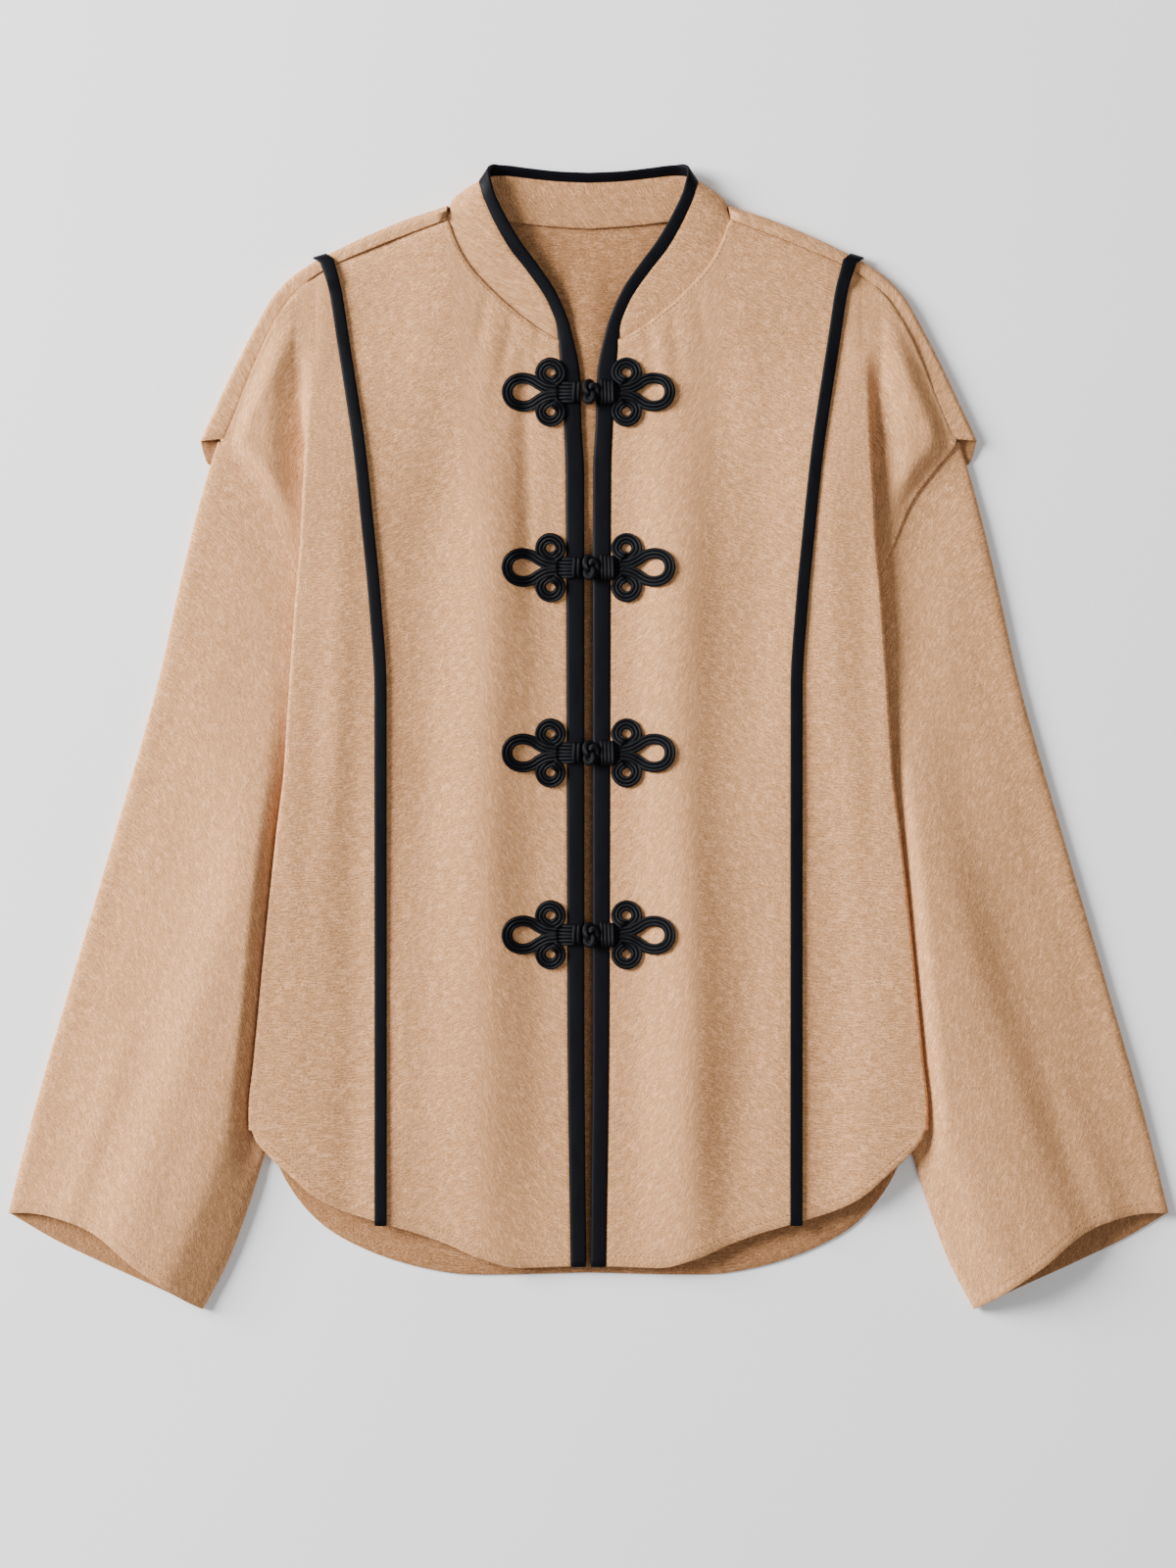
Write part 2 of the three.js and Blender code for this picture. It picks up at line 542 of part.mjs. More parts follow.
// Tape over the princess seam, up over the strip and round the shoulder fold
const TAPE_ROWS = { count: 24, bottomX: 131, past: 1.5, last: 284, raised: 291 };
const TAPE_SPOT = { seamX: 163.8, seamY: 297.2, edgeX: 165.9, edgeY: 303.9 };
const TAPE_LEAN = 3.6;
const TAPE_SLANTED = 1.15;
const TAPE_ROUND = [90, 50, 15, -15];
function tapeGrid() {
  const half = TAPE_WIDTH / 2;
  const lift = CLOTH / 2 + 3 * SEAM_GAP + TAPE / 2;
  const bottom = frontHemY(TAPE_ROWS.bottomX) - TAPE_ROWS.past;
  const up = [...spread(TAPE_ROWS.count, bottom, TAPE_ROWS.last), TAPE_ROWS.raised];
  const flat = up.map((y) => {
    const slant = (princessX(y + 1) - princessX(y - 1)) / 2;
    const step = y > TAPE_ROWS.last ? STEP_UP : 0;
    return [-1, 0, 1].map((side) => {
      const place = new THREE.Vector2(princessX(y) + side * half, y - side * half * slant);
      return new THREE.Vector3(place.x, place.y, frontZ(place.x, place.y) + lift + step);
    });
  });
  const fold = shoulderFold(TAPE_SPOT);
  const raised = { ...fold, wide: fold.wide + lift, radius: fold.radius + lift };
  const across = new THREE.Vector3(fold.out.y, -fold.out.x, 0);
  const over = TAPE_ROUND.map((degrees) => {
    const angle = THREE.MathUtils.degToRad(degrees);
    const lean = TAPE_LEAN * Math.cos(angle);
    const middle = foldPoint(raised, angle).addScaledVector(across, lean);
    return [-1, 0, 1].map((side) => middle.clone().addScaledVector(across, side * half * TAPE_SLANTED));
  });
  return [...flat, ...over];
}

// Sleeve: a flattened tube, its head lapped inside the armhole and its cuff open
const SLEEVE_ACROSS = [0, 0.012, 0.04, 0.15, 0.3, 0.45, 0.6, 0.75, 0.88, 0.96, 0.988, 1];
const SLEEVE_DOWN = [
  -0.008, 0.006, 0.03, 0.055, 0.11, 0.18, 0.27, 0.37, 0.47, 0.57, 0.67, 0.77, 0.86, 0.93, 0.97, 1,
];
const SLEEVE_HEAD = { from: 0.03, lowTo: 0.055, highTo: 0.1, clear: 0.6 };
const EDGE_SOFT = 0.04;
function sleeveSheet(head, cuff) {
  const outer = route(SLEEVE_OUTER);
  const inner = route(SLEEVE_INNER);
  const sides = [outer, inner, route(head), route(cuff)];
  const at = (curve, t) => {
    if (t >= 0) return curve.getPointAt(t);
    return curve.getPointAt(0).addScaledVector(curve.getTangentAt(0), t * curve.getLength());
  };
  const corners = [outer.getPoint(0), inner.getPoint(0), outer.getPoint(1), inner.getPoint(1)];
  return (across, down) => {
    const edge = at(sides[0], down).multiplyScalar(1 - across).addScaledVector(at(sides[1], down), across);
    const ends = at(sides[2], across).multiplyScalar(1 - down).addScaledVector(at(sides[3], across), down);
    const mid = new THREE.Vector3()
      .addScaledVector(corners[0], (1 - across) * (1 - down))
      .addScaledVector(corners[1], across * (1 - down))
      .addScaledVector(corners[2], (1 - across) * down)
      .addScaledVector(corners[3], across * down);
    return edge.add(ends).sub(mid);
  };
}

function sleeveGrid() {
  const frontAt = sleeveSheet(FRONT_ARMHOLE, FRONT_CUFF);
  const backAt = sleeveSheet(BACK_ARMHOLE, BACK_CUFF);
  return SLEEVE_DOWN.map((down) => {
    const lowered = THREE.MathUtils.smoothstep(down, SLEEVE_HEAD.from, SLEEVE_HEAD.lowTo);
    const raised = THREE.MathUtils.smoothstep(down, SLEEVE_HEAD.from, SLEEVE_HEAD.highTo);
    const low = THREE.MathUtils.lerp(FLOOR_LEVEL + STEP_UP, FLOOR_LEVEL, lowered);
    const high = THREE.MathUtils.lerp(FRONT_LEVEL - STEP_UP, FRONT_LEVEL - SLEEVE_HEAD.clear, raised);
    const middle = (low + high) / 2;
    const place = (sheet, across, level) => {
      const point = sheet(across, down);
      const inFromEdge = Math.min(across, 1 - across);
      const open = inFromEdge >= EDGE_SOFT ? 1 : Math.sqrt(1 - (1 - inFromEdge / EDGE_SOFT) ** 2);
      point.z = THREE.MathUtils.lerp(middle, level, open);
      return point;
    };
    const front = SLEEVE_ACROSS.map((across) => place(frontAt, across, high));
    const behind = SLEEVE_ACROSS.slice(1, -1).reverse().map((across) => place(backAt, across, low));
    return [...front, ...behind];
  });
}

// Frog: petals round the middle of the piece, with an eye through each
const PETALS = [
  { x: 42.3, y: 0, radius: 12.3, eyeX: 39.5, eyeWide: 7, eyeHigh: 3.8 },
  { x: 23.9, y: 12, radius: 9.9, eyeX: 24.5, eyeWide: 3.2, eyeHigh: 3.6 },
  { x: 23.9, y: -12, radius: 9.9, eyeX: 24.5, eyeWide: 3.2, eyeHigh: 3.6 },
];
const FROG_MIDDLE = 27;
const FROG_LEAST = 6;
const FROG_STEM = { from: 5.2, half: 5 };
const FROG_SIDES = 40;
const EYE_SIDES = 10;
function frogGeometry() {
  const reach = (angle) => {
    const dx = Math.cos(angle);
    const dy = Math.sin(angle);
    let far = FROG_LEAST;
    PETALS.forEach(({ x, y, radius }) => {
      const cx = x - FROG_MIDDLE;
      const along = cx * dx + y * dy;
      const inside = along ** 2 - (cx ** 2 + y ** 2 - radius ** 2);
      if (inside >= 0) far = Math.max(far, along + Math.sqrt(inside));
    });
    if (dx < 0) {
      const stem = Math.min((FROG_STEM.from - FROG_MIDDLE) / dx, FROG_STEM.half / Math.abs(dy || 1e-9));
      far = Math.max(far, stem);
    }
    return far;
  };
  const points = spread(FROG_SIDES, 0, Math.PI * 2).slice(0, -1).map((angle) => new THREE.Vector2(
    FROG_MIDDLE + reach(angle) * Math.cos(angle),
    reach(angle) * Math.sin(angle),
  ));
  const shape = new THREE.Shape(points);
  PETALS.forEach(({ eyeX, y, eyeWide, eyeHigh }) => {
    const eye = new THREE.Path();
    eye.absellipse(eyeX, y, eyeWide, eyeHigh, 0, Math.PI * 2, true);
    shape.holes.push(new THREE.Path(eye.getPoints(EYE_SIDES).slice(0, -1)));
  });
  const plate = new THREE.ExtrudeGeometry(shape, { depth: FROG_THICK, bevelEnabled: false });
  return plate.translate(0, 0, FROG_LEVEL);
}

const garment = new THREE.Group();
const laid = new THREE.Group();
garment.add(laid);

function add(name, geometry, look) {
  const mesh = new THREE.Mesh(geometry, new THREE.MeshStandardMaterial(look));
  mesh.name = name;
  laid.add(mesh);
  return mesh;
}

// The wall's faces point outward whichever way its grid was laid
function facedOut(geometry) {
  const place = geometry.getAttribute('position');
  const index = geometry.index.array;
  let volume = 0;
  const a = new THREE.Vector3();
  const b = new THREE.Vector3();
  const c = new THREE.Vector3();
  for (let i = 0; i < index.length; i += 3) {
    a.fromBufferAttribute(place, index[i]);
    b.fromBufferAttribute(place, index[i + 1]);
    c.fromBufferAttribute(place, index[i + 2]);
    volume += a.dot(b.cross(c));
  }
  if (volume < 0) {
    for (let i = 0; i < index.length; i += 3) {
      [index[i + 1], index[i + 2]] = [index[i + 2], index[i + 1]];
    }
  }
  return geometry;
}

function pair(name, geometry, look) {
  add(`${name}_left`, geometry, look);
  add(`${name}_right`, mirrored(geometry), look);
}

add('back', facedOut(wall(backGrid(), CLOTH)), CAMEL);
pair('front_centre', facedOut(wall(centreFrontGrid(), CLOTH)), CAMEL);
pair('front_side', facedOut(wall(sideFrontGrid(), CLOTH)), CAMEL);
pair('sleeve', facedOut(wall(sleeveGrid(), CLOTH, true)), CAMEL);
add('collar', facedOut(wall(collarGrid(), COLLAR_CLOTH)), CAMEL);
add('edge_binding', facedOut(wall(bindingGrid(), BINDING)), BLACK);
pair('tape', facedOut(wall(tapeGrid(), TAPE)), BLACK);

const KNOT_SIDES = { round: 10, down: 8 };
FROG_Y.forEach((y, k) => {
  add(`frog_left_${k + 1}`, frogGeometry(), BLACK).position.y = y;
  add(`frog_right_${k + 1}`, frogGeometry().rotateZ(Math.PI), BLACK).position.y = y;
  const knot = new THREE.SphereGeometry(1, KNOT_SIDES.round, KNOT_SIDES.down);
  knot.scale(KNOT.wide, KNOT.high, KNOT.deep);
  add(`knot_${k + 1}`, knot, BLACK).position.set(0, y, FROG_LEVEL + KNOT.deep);
});

// The origin is on the surface under the middle of the garment
const box = new THREE.Box3().setFromObject(garment);
laid.position.y = -(box.min.y + box.max.y) / 2;

export default garment;
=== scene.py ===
"""Mandarin collar blouse, laid flat on a pale surface: the finished look of every piece.

The panels are thin cloth shells laid by the same outlines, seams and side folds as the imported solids.
The creases and ridges of the fronts and sleeves, the swell of the sleeves and side fronts and the rise
of the back are made here alone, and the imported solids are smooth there. Lengths in the tables are in
millimetres, from the middle of the garment, with +Y toward the collar. The meshes are in metres.
"""

import math

import bpy
import numpy as np
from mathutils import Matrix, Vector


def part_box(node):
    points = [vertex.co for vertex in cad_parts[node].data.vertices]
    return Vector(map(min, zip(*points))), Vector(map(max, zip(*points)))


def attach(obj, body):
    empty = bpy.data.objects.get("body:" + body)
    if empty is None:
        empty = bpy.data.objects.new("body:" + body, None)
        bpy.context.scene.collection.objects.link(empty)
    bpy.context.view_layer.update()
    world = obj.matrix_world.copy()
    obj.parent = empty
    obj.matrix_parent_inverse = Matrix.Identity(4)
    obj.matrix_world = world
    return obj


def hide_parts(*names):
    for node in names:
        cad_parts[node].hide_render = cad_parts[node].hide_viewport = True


bl_info = {
    "name": "Mandarin Collar Blouse",
    "version": (1, 0, 0),
    "blender": (4, 5, 0),
    "location": "View3D > Sidebar > Blouse",
    "description": "Builds a loose blouse with cord frogs, laid flat",
    "category": "Object",
}

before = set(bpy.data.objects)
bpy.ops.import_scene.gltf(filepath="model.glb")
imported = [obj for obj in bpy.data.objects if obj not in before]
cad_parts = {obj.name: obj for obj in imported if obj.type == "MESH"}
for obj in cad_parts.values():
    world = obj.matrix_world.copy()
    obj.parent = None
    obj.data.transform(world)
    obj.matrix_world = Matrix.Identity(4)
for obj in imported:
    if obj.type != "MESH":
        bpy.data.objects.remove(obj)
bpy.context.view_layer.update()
MM = 0.001
FIRST_FROG_Y = 218.0
KNOT_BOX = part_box("knot_1")
SHIFT_Y = (KNOT_BOX[0][1] + KNOT_BOX[1][1]) / 2 - FIRST_FROG_Y * MM

# Sizes of the cut and of the layers, in millimetres
COLLAR_CLOTH = 1.8
BINDING = 2.4
TAPE = 1.4
SEAM_GAP = 0.3
LAP = 2.0
FRONT_LEVEL = 5.8
NECK_LIFT = 4.0
NECK_REACH = 45.0
UNDERARM_Y = -20.0
FOLD_ARC = 4.7

# Fronts: where they start to rise to the side fold, how soon they fall beyond it, and the neck's rise
RAMP_FROM = 60.0
RAMP_DOWN = 8.0
NECK_PLACE = (80, 325)
CALM_BESIDE_OPENING = (14, 44)
SHOULDER_Y_RANGE = (150, 310)
NECK_END_X = 18.9
PRINCESS_TOP_Y = 294

# Swell of a side front beside its fold, over these distances from the fold, shoulder seam and armhole
SWELL = 6.5
SWELL_FROM_FOLD = (2, 26)
SWELL_FROM_SHOULDER = (3, 34)
SWELL_FROM_ARMHOLE = (1, 18)
SWELL_ABOVE = (108, 150)

# Tapes, sleeves, back and stitches
TAPE_WIDTH = 7.0
TAPE_LEAN = 3.6
TAPE_SLANTED = 1.15
TAPE_SPOT = {"seam_x": 163.8, "seam_y": 297.2, "edge_x": 165.9, "edge_y": 303.9}
SLEEVE_SWELL = 14.0
SLEEVE_TROUGH = -2.6
SLEEVE_EDGE = 0.04
UNDER_BODY = (-12, 3)
BESIDE_HEM_Y = (-285, -258)
BACK_RISE = 3.3
BACK_RISE_WIDE = 13
BACK_FLAT_FROM_X = 118
HEM_INSET = 6.5
COLLAR_INSET = 1.8
STITCH_APART = 0.7

# Collar, its turn at both sides, and the shoulder strip
COLLAR_TURN_ROW = 50
COLLAR_TURN_SPAN = 8
COLLAR_FULL = 2.6
COLLAR_CORNER = (-2.4, 1.8)
COLLAR_CORNER_WIDE = 2.2
STRIP_DIP = 1.3
STRIP_REACH = 5
STRIP_FROM_X = (86, 96)
EAR_DROP = (2.6, 14.5)
CAP_Y = 186.0
HEM_SIDE_Y = -246.0
FROG_Y = (FIRST_FROG_Y, 107.3, -9.6, -124.3)
SIDES = {"left": 1, "right": -1}

# Least width in metres of a sheet's size as read off its surface
LEAST_CUT = 0.01

# Which skin of a wall is its inner one, and how strongly painted shade darkens inner skins and rims (shade
# inside the garment and along seams and cut edges)
BACK_INNER = 0
COLLAR_INNER = 0
SLEEVE_INNER_SKIN = 1
COLLAR_PAINTED_SHADE = 0.55
RIM_PAINTED_SHADE = 1.4

# The camera stands over the middle of the photo, whose columns and rows are all one size
PHOTO_SCALE = 0.62
PHOTO_ROWS = 1600
PHOTO_MIDDLE = (600, 800)
PHOTO_ORIGIN = (600.5, 753)
CAMERA_HEIGHT = 2.6
SENSOR_WIDTH = 36
KEY_PLACE = (-3.3, 1.2, 1.7)
FILL_PLACE = (1.6, -1.0, 3.4)
FILL_SHARE = 0.06
WORLD_COLOR = (0.95, 0.97, 1.0, 1)
WORLD_STRENGTH = 0.30


def table(names, *rows):
    """A table with named columns, as one array for each name."""
    return dict(zip(names.split(), np.array(rows, dtype=float).T))


SHOULDER = table(
    "seam_x seam_y edge_x edge_y",
    (89.7, 326.7, 89.4, 335.7), (113, 318.2, 114.5, 327.5), (137, 308.8, 139.5, 317.3),
    (160, 299, 163.4, 305.9), (174, 290.8, 178.5, 297.6), (184, 282, 190, 289),
    (193.5, 270.5, 200.2, 277.6), (203.5, 252.5, 211.4, 257.8), (213, 231, 222.4, 236.6),
    (222, 209, 233.8, 212.5), (230.3, 189, 245.4, 187.4),
)
COLLAR_FRONT = table(
    "seam_x seam_y top_x top_y top_z free_x free_y free_z",
    (20.4, 251.4, 19, 249.6, 4.1, 10, 249.8, 4.8), (25, 254.2, 19.8, 257, 4.9, 11.8, 257.8, 5.6),
    (32.3, 258.5, 21.5, 265, 5.9, 14.7, 266.8, 6.6), (46.3, 268.9, 28.2, 279.4, 7.4, 22.4, 283.3, 8.2),
    (61.9, 282.8, 39.4, 295.1, 8.8, 33.8, 299.6, 9.8), (76, 298.5, 49.6, 308, 10.2, 43.3, 312.3, 11.2),
    (84.6, 314.3, 58.6, 323.4, 11.6, 52, 326.8, 12.6), (88.6, 326, 65.6, 338.6, 12.6, 58.9, 340.8, 13.6),
)
COLLAR_TURN = table(
    "top_x top_y top_z free_x free_y free_z",
    (67.6, 345.2, 12.3, 61.2, 348, 13.8), (68.6, 348.8, 10.6, 62.4, 353.4, 13),
    (68.3, 350.6, 8.4, 62.8, 357.6, 11.6), (66.2, 352.4, 6, 61.9, 360, 9.4),
    (62.4, 354.6, 4.4, 59.4, 361.2, 7.6),
)
COLLAR_BACK = table(
    "seam_x seam_y top_x top_y free_x free_y free_z",
    (76, 333, 57.6, 355.4, 56, 360.9, 6.4), (68, 330.3, 50, 355.2, 48.6, 360.4, 5.9),
    (52, 328.5, 39, 353.8, 38, 359, 5.6), (27, 325.8, 20, 351.8, 19.6, 357, 5.4),
    (0, 324, 0, 350.9, 0, 356.2, 5.3),
)
OPENING = table(
    "y panel_x free_x",
    (-340, 10.4, 2), (-178, 12.5, 3.3), (60, 13.2, 3.3), (166, 13.6, 3.4), (200, 14.8, 5.2),
    (228, 16.4, 5.9), (242, 17.4, 7.9), (248.4, 17.9, 9.5), (340, 18.6, 14),
)
PRINCESS = table(
    "y x",
    (-345, 131), (30, 131), (84, 134.3), (129, 138.5), (181, 144), (251, 154.8), (284, 160), (297, 164),
    (304, 166.6),
)
SIDE_FOLD = table(
    "y edge_x turn depth back seam_x",
    (-262, 213.2, 178, 9, 80, 204), (-236, 213.6, 178, 13.8, 82, 197), (-203, 210.4, 178, 19.6, 84, 188),
    (-153, 205.7, 178, 28.6, 86, 174), (-106, 201, 178, 36.4, 88, 161), (-60, 196, 178, 44, 90, 149),
    (-20, 191.2, 178, 50, 90, 138), (0, 190, 178, 46, 150, 143.5), (20, 188.8, 178, 42, 178, 152),
    (61, 186, 177, 33, 177, 168), (101, 183, 176, 22, 176, 183.4), (119, 181.2, 173, 17, 173, 191.3),
    (149, 179.6, 158, 9, 158, 204), (171, 178.5, 130, 4, 130, 220), (187, 178, 105, 3, 105, 232),
    (211, 178, 60, 2.5, 60, 234), (233, 177, 24, 2.5, 24, 234), (250, 177, 1, 2.5, 1, 234),
    (340, 177, 1, 2.5, 1, 234),
)
FRONT_HEM = table(
    "x y",
    (-40, -334), (10, -333.5), (44, -334.3), (69, -328), (89, -319.5), (109, -312.3), (128.7, -306.5),
    (158, -297), (173, -289), (186, -277.5), (203.5, -261), (209, -254.5), (212.6, -247), (260, -246),
)
BACK_HEM = table(
    "x y",
    (0, -337.7), (69, -339), (87, -338), (114, -332.5), (140, -323.5), (163.5, -311), (178, -298),
    (191, -280), (197.8, -264), (199, -252),
)
BACK_SIDE = table(
    "y x",
    (173, 238.5), (166, 236.2), (160, 234.8), (128, 224), (88, 206), (45, 181), (10, 157), (-22, 139.6),
    (-60, 149.6), (-106, 161.8), (-153, 174.4), (-203, 187.8), (-232, 195), (-252, 199),
)
SLEEVE_OUTER = table(
    "x y",
    (234.7, 183.5), (243.4, 155), (257, 100), (272, 33), (300, -65), (328, -160), (350.7, -239),
    (366, -300),
)
SLEEVE_INNER = table(
    "x y",
    (143, -31), (157.4, -85), (172.8, -142), (189, -203), (205, -262), (218.5, -305), (230, -334),
    (244, -360.5),
)
FRONT_ARMHOLE = table(
    "x y",
    (234.7, 183.5), (220, 171.4), (204, 149), (191.3, 119), (183.4, 101), (168, 61), (156, 20),
    (143, -31),
)
BACK_ARMHOLE = table(
    "x y", (234.7, 183.5), (234.3, 160), (224, 128), (206, 88), (181, 45), (161, 6), (143, -31),
)
FRONT_CUFF = table(
    "x y",
    (366, -300), (353, -300), (337, -302.5), (318, -309), (305.5, -316.5), (287, -332), (270, -344),
    (256, -353.5), (244, -360.5),
)
BACK_CUFF = table("x y", (366, -300), (339, -316), (306, -332), (273, -347), (244, -360.5))

# Soft ridges (height above 0) and troughs of the fronts, for each side of the photo
CREASES = {
    1: table(
        "x0 y0 x1 y1 width height",
        (54, 290, 60, -420, 23, 7.2), (62, 20, 72, -430, 17, 2.9), (146, 60, 156, -420, 15, -2.0),
        (36, 266, 44, 218, 3.2, -0.8), (52, 276, 58, 226, 3.4, -0.7), (66, 290, 76, 238, 4, -0.6),
        (44, 262, 52, 205, 4, 0.7), (95, 300, 104, 160, 13, 1.0), (72, 230, 62, 20, 15, 1.1),
        (112, 250, 104, -60, 14, -1.1), (150, 210, 158, -40, 9, 0.9), (172, 150, 181, -150, 8, -0.9),
        (88, 20, 84, -280, 16, 1.1), (48, 60, 52, -240, 15, -0.9), (158, -30, 168, -250, 13, -1.0),
        (118, -80, 116, -290, 11, 0.8), (196, 262, 214, 205, 5, -0.8), (206, 240, 200, 170, 6, 0.9),
        (190, 230, 186, 160, 5, -0.8), (140, 296, 170, 240, 7, 0.5), (180, 292, 188, 205, 8, -2.2),
        (168, 296, 173, 215, 9, 1.3),
    ),
    -1: table(
        "x0 y0 x1 y1 width height",
        (62, 290, 66, -420, 25, 7.2), (41, 262, 37, 60, 6, -1.8), (146, 100, 150, -420, 13, -2.2),
        (30, 264, 34, 222, 3, -0.7), (46, 274, 56, 222, 3.6, -0.8), (62, 288, 70, 244, 3.6, -0.6),
        (58, 276, 68, 200, 5, 0.6), (100, 296, 112, 120, 14, 1.0), (66, 215, 58, -30, 16, 1.0),
        (108, 190, 98, -110, 15, -1.1), (154, 190, 160, -70, 9, 0.9), (168, 90, 182, -190, 9, -0.9),
        (84, -10, 92, -300, 15, 1.0), (44, 90, 46, -200, 14, -0.8), (160, -60, 172, -240, 12, -0.9),
        (122, -110, 112, -285, 12, 0.8), (200, 258, 220, 202, 5, -0.8), (208, 236, 204, 165, 6, 0.8),
        (192, 225, 186, 150, 5, -0.9), (146, 290, 168, 236, 7, 0.5), (182, 292, 188, 205, 8, -2.2),
        (166, 296, 173, 215, 9, 1.3),
    ),
}
# Folds down each sleeve, by share across (0 at the outer edge) and down
SLEEVE_FOLDS = {
    1: table(
        "x0 y0 x1 y1 width height",
        (0.16, 0.06, 0.2, 1.05, 0.06, 0.54), (0.34, 0.12, 0.36, 1.1, 0.07, -0.54),
        (0.5, 0.3, 0.46, 1.15, 0.08, 1.56), (0.66, 0.1, 0.7, 0.9, 0.06, -0.48),
        (0.8, 0.4, 0.84, 1.1, 0.05, 0.78), (0.3, 0.7, 0.24, 1.15, 0.06, 1.44),
        (0.68, 0.74, 0.7, 1.12, 0.06, -0.84), (0.1, 0.02, 0.3, 0.3, 0.05, 0.3),
    ),
    -1: table(
        "x0 y0 x1 y1 width height",
        (0.14, 0.1, 0.18, 1.05, 0.06, 0.54), (0.36, 0.06, 0.34, 1.1, 0.07, -0.48),
        (0.52, 0.24, 0.5, 1.15, 0.08, 1.38), (0.68, 0.16, 0.66, 0.95, 0.06, -0.54),
        (0.84, 0.3, 0.8, 1.1, 0.05, 0.84), (0.28, 0.66, 0.26, 1.15, 0.06, 1.56),
        (0.64, 0.78, 0.72, 1.12, 0.06, -0.72), (0.12, 0.03, 0.26, 0.34, 0.05, 0.3),
    ),
}


def column(rows, at, name):
    """Smooth curve through a table, one column read against another, with no overshoot."""
    x = rows[at]
    y = rows[name]
    chord = np.diff(y) / np.diff(x)
    slope = np.empty_like(y)
    slope[0] = chord[0]
    slope[-1] = chord[-1]
    product = chord[:-1] * chord[1:]
    total = np.where(product > 0, chord[:-1] + chord[1:], 1.0)
    slope[1:-1] = np.where(product > 0, 2 * product / total, 0.0)

    def value(at_x):
        at_x = np.clip(at_x, x[0], x[-1])
        i = np.clip(np.searchsorted(x, at_x, side="left") - 1, 0, len(x) - 2)
        span = x[i + 1] - x[i]
        t = (at_x - x[i]) / span
        t2 = t * t
        t3 = t2 * t
        return (
            (2 * t3 - 3 * t2 + 1) * y[i] + (t3 - 2 * t2 + t) * slope[i] * span
            + (3 * t2 - 2 * t3) * y[i + 1] + (t3 - t2) * slope[i + 1] * span
        )

    return value


def route(rows, samples=24):
    """Round curve through a table's x and y, read by the share of its length."""
    points = np.column_stack([rows["x"], rows["y"]])
    ends = [2 * points[0] - points[1], *points, 2 * points[-1] - points[-2]]
    line = [points[0]]
    for p0, p1, p2, p3 in zip(ends, ends[1:], ends[2:], ends[3:]):
        d1, d2, d3 = (max(np.linalg.norm(b - a), 1e-6) ** 0.5 for a, b in ((p0, p1), (p1, p2), (p2, p3)))
        m1 = (p2 - p1 + d2 * ((p1 - p0) / d1 - (p2 - p0) / (d1 + d2)))
        m2 = (p2 - p1 + d2 * ((p3 - p2) / d3 - (p3 - p1) / (d2 + d3)))
        for t in np.linspace(0, 1, samples + 1)[1:]:
            line.append(
                (2 * t**3 - 3 * t**2 + 1) * p1 + (t**3 - 2 * t**2 + t) * m1
                + (3 * t**2 - 2 * t**3) * p2 + (t**3 - t**2) * m2
            )
    line = np.array(line)
    gone = np.concatenate([[0], np.cumsum(np.linalg.norm(np.diff(line, axis=0), axis=1))])
    first = (line[1] - line[0]) / gone[1]

    def at(share):
        length = np.asarray(share) * gone[-1]
        plan = np.stack([np.interp(length, gone, line[:, k]) for k in (0, 1)], axis=-1)
        return plan + np.minimum(length, 0)[..., None] * first

    return at


def smooth(t, low=0.0, high=1.0):
    t = np.clip((t - low) / (high - low), 0, 1)
    return t * t * (3 - 2 * t)


def ridges(x, y, rows):
    """Height of the soft ridges and troughs of a table at each place."""
    height = np.zeros(np.broadcast(x, y).shape)
    for x0, y0, x1, y1, width, high in zip(*rows.values()):
        dx, dy = x1 - x0, y1 - y0
        along = np.clip(((x - x0) * dx + (y - y0) * dy) / (dx * dx + dy * dy), 0, 1)
        apart = (x - x0 - along * dx) ** 2 + (y - y0 - along * dy) ** 2
        ends = smooth(along, 0, 0.3) * smooth(1 - along, 0, 0.3)
        height += high * ends * np.exp(-apart / width**2)
    return height


def uneven(x, y, phase=0.0):
    """Faint unevenness of cloth that has been laid by hand."""
    return (
        0.22 * np.sin(x / 17 + y / 61 + phase) + 0.18 * np.sin(x / 9.3 - y / 38 + 1.3 * phase)
        + 0.12 * np.sin(x / 31 + y / 13.7 + 2.1 * phase)
    )


princess_x = column(PRINCESS, "y", "x")
panel_x = column(OPENING, "y", "panel_x")
free_x = column(OPENING, "y", "free_x")
front_hem_y = column(FRONT_HEM, "x", "y")
shoulder_y = column(SHOULDER, "seam_x", "seam_y")
neck_y = column(COLLAR_FRONT, "seam_x", "seam_y")
fold = {name: column(SIDE_FOLD, "y", name) for name in SIDE_FOLD if name != "y"}


def fold_drop(y):
    turn = np.radians(fold["turn"](y))
    return 2 * FOLD_ARC * (1 - np.cos(turn)) / turn + fold["depth"](y) * np.sin(turn)


def front_z(x, y, side=1):
    """Middle level of the fronts, creases included, at a place on one side."""
    x = np.abs(x)
    edge = fold["edge_x"](y)
    ramp = smooth(x, RAMP_FROM, edge - FOLD_ARC) * (1 - smooth(x, edge, edge + RAMP_DOWN))
    far = (x - NECK_PLACE[0]) ** 2 + (y - NECK_PLACE[1]) ** 2
    lift = NECK_LIFT * np.exp(-far / (2 * NECK_REACH**2))
    clear = smooth(x, *CALM_BESIDE_OPENING)
    soft = ridges(x, y, CREASES[side]) + uneven(x, y, side)
    under_strip = STRIP_DIP * np.exp(-(((shoulder_y(x) - y) / STRIP_REACH) ** 2)) * smooth(x, *STRIP_FROM_X)
    return FRONT_LEVEL + fold_drop(y) * ramp + lift + clear * soft - under_strip


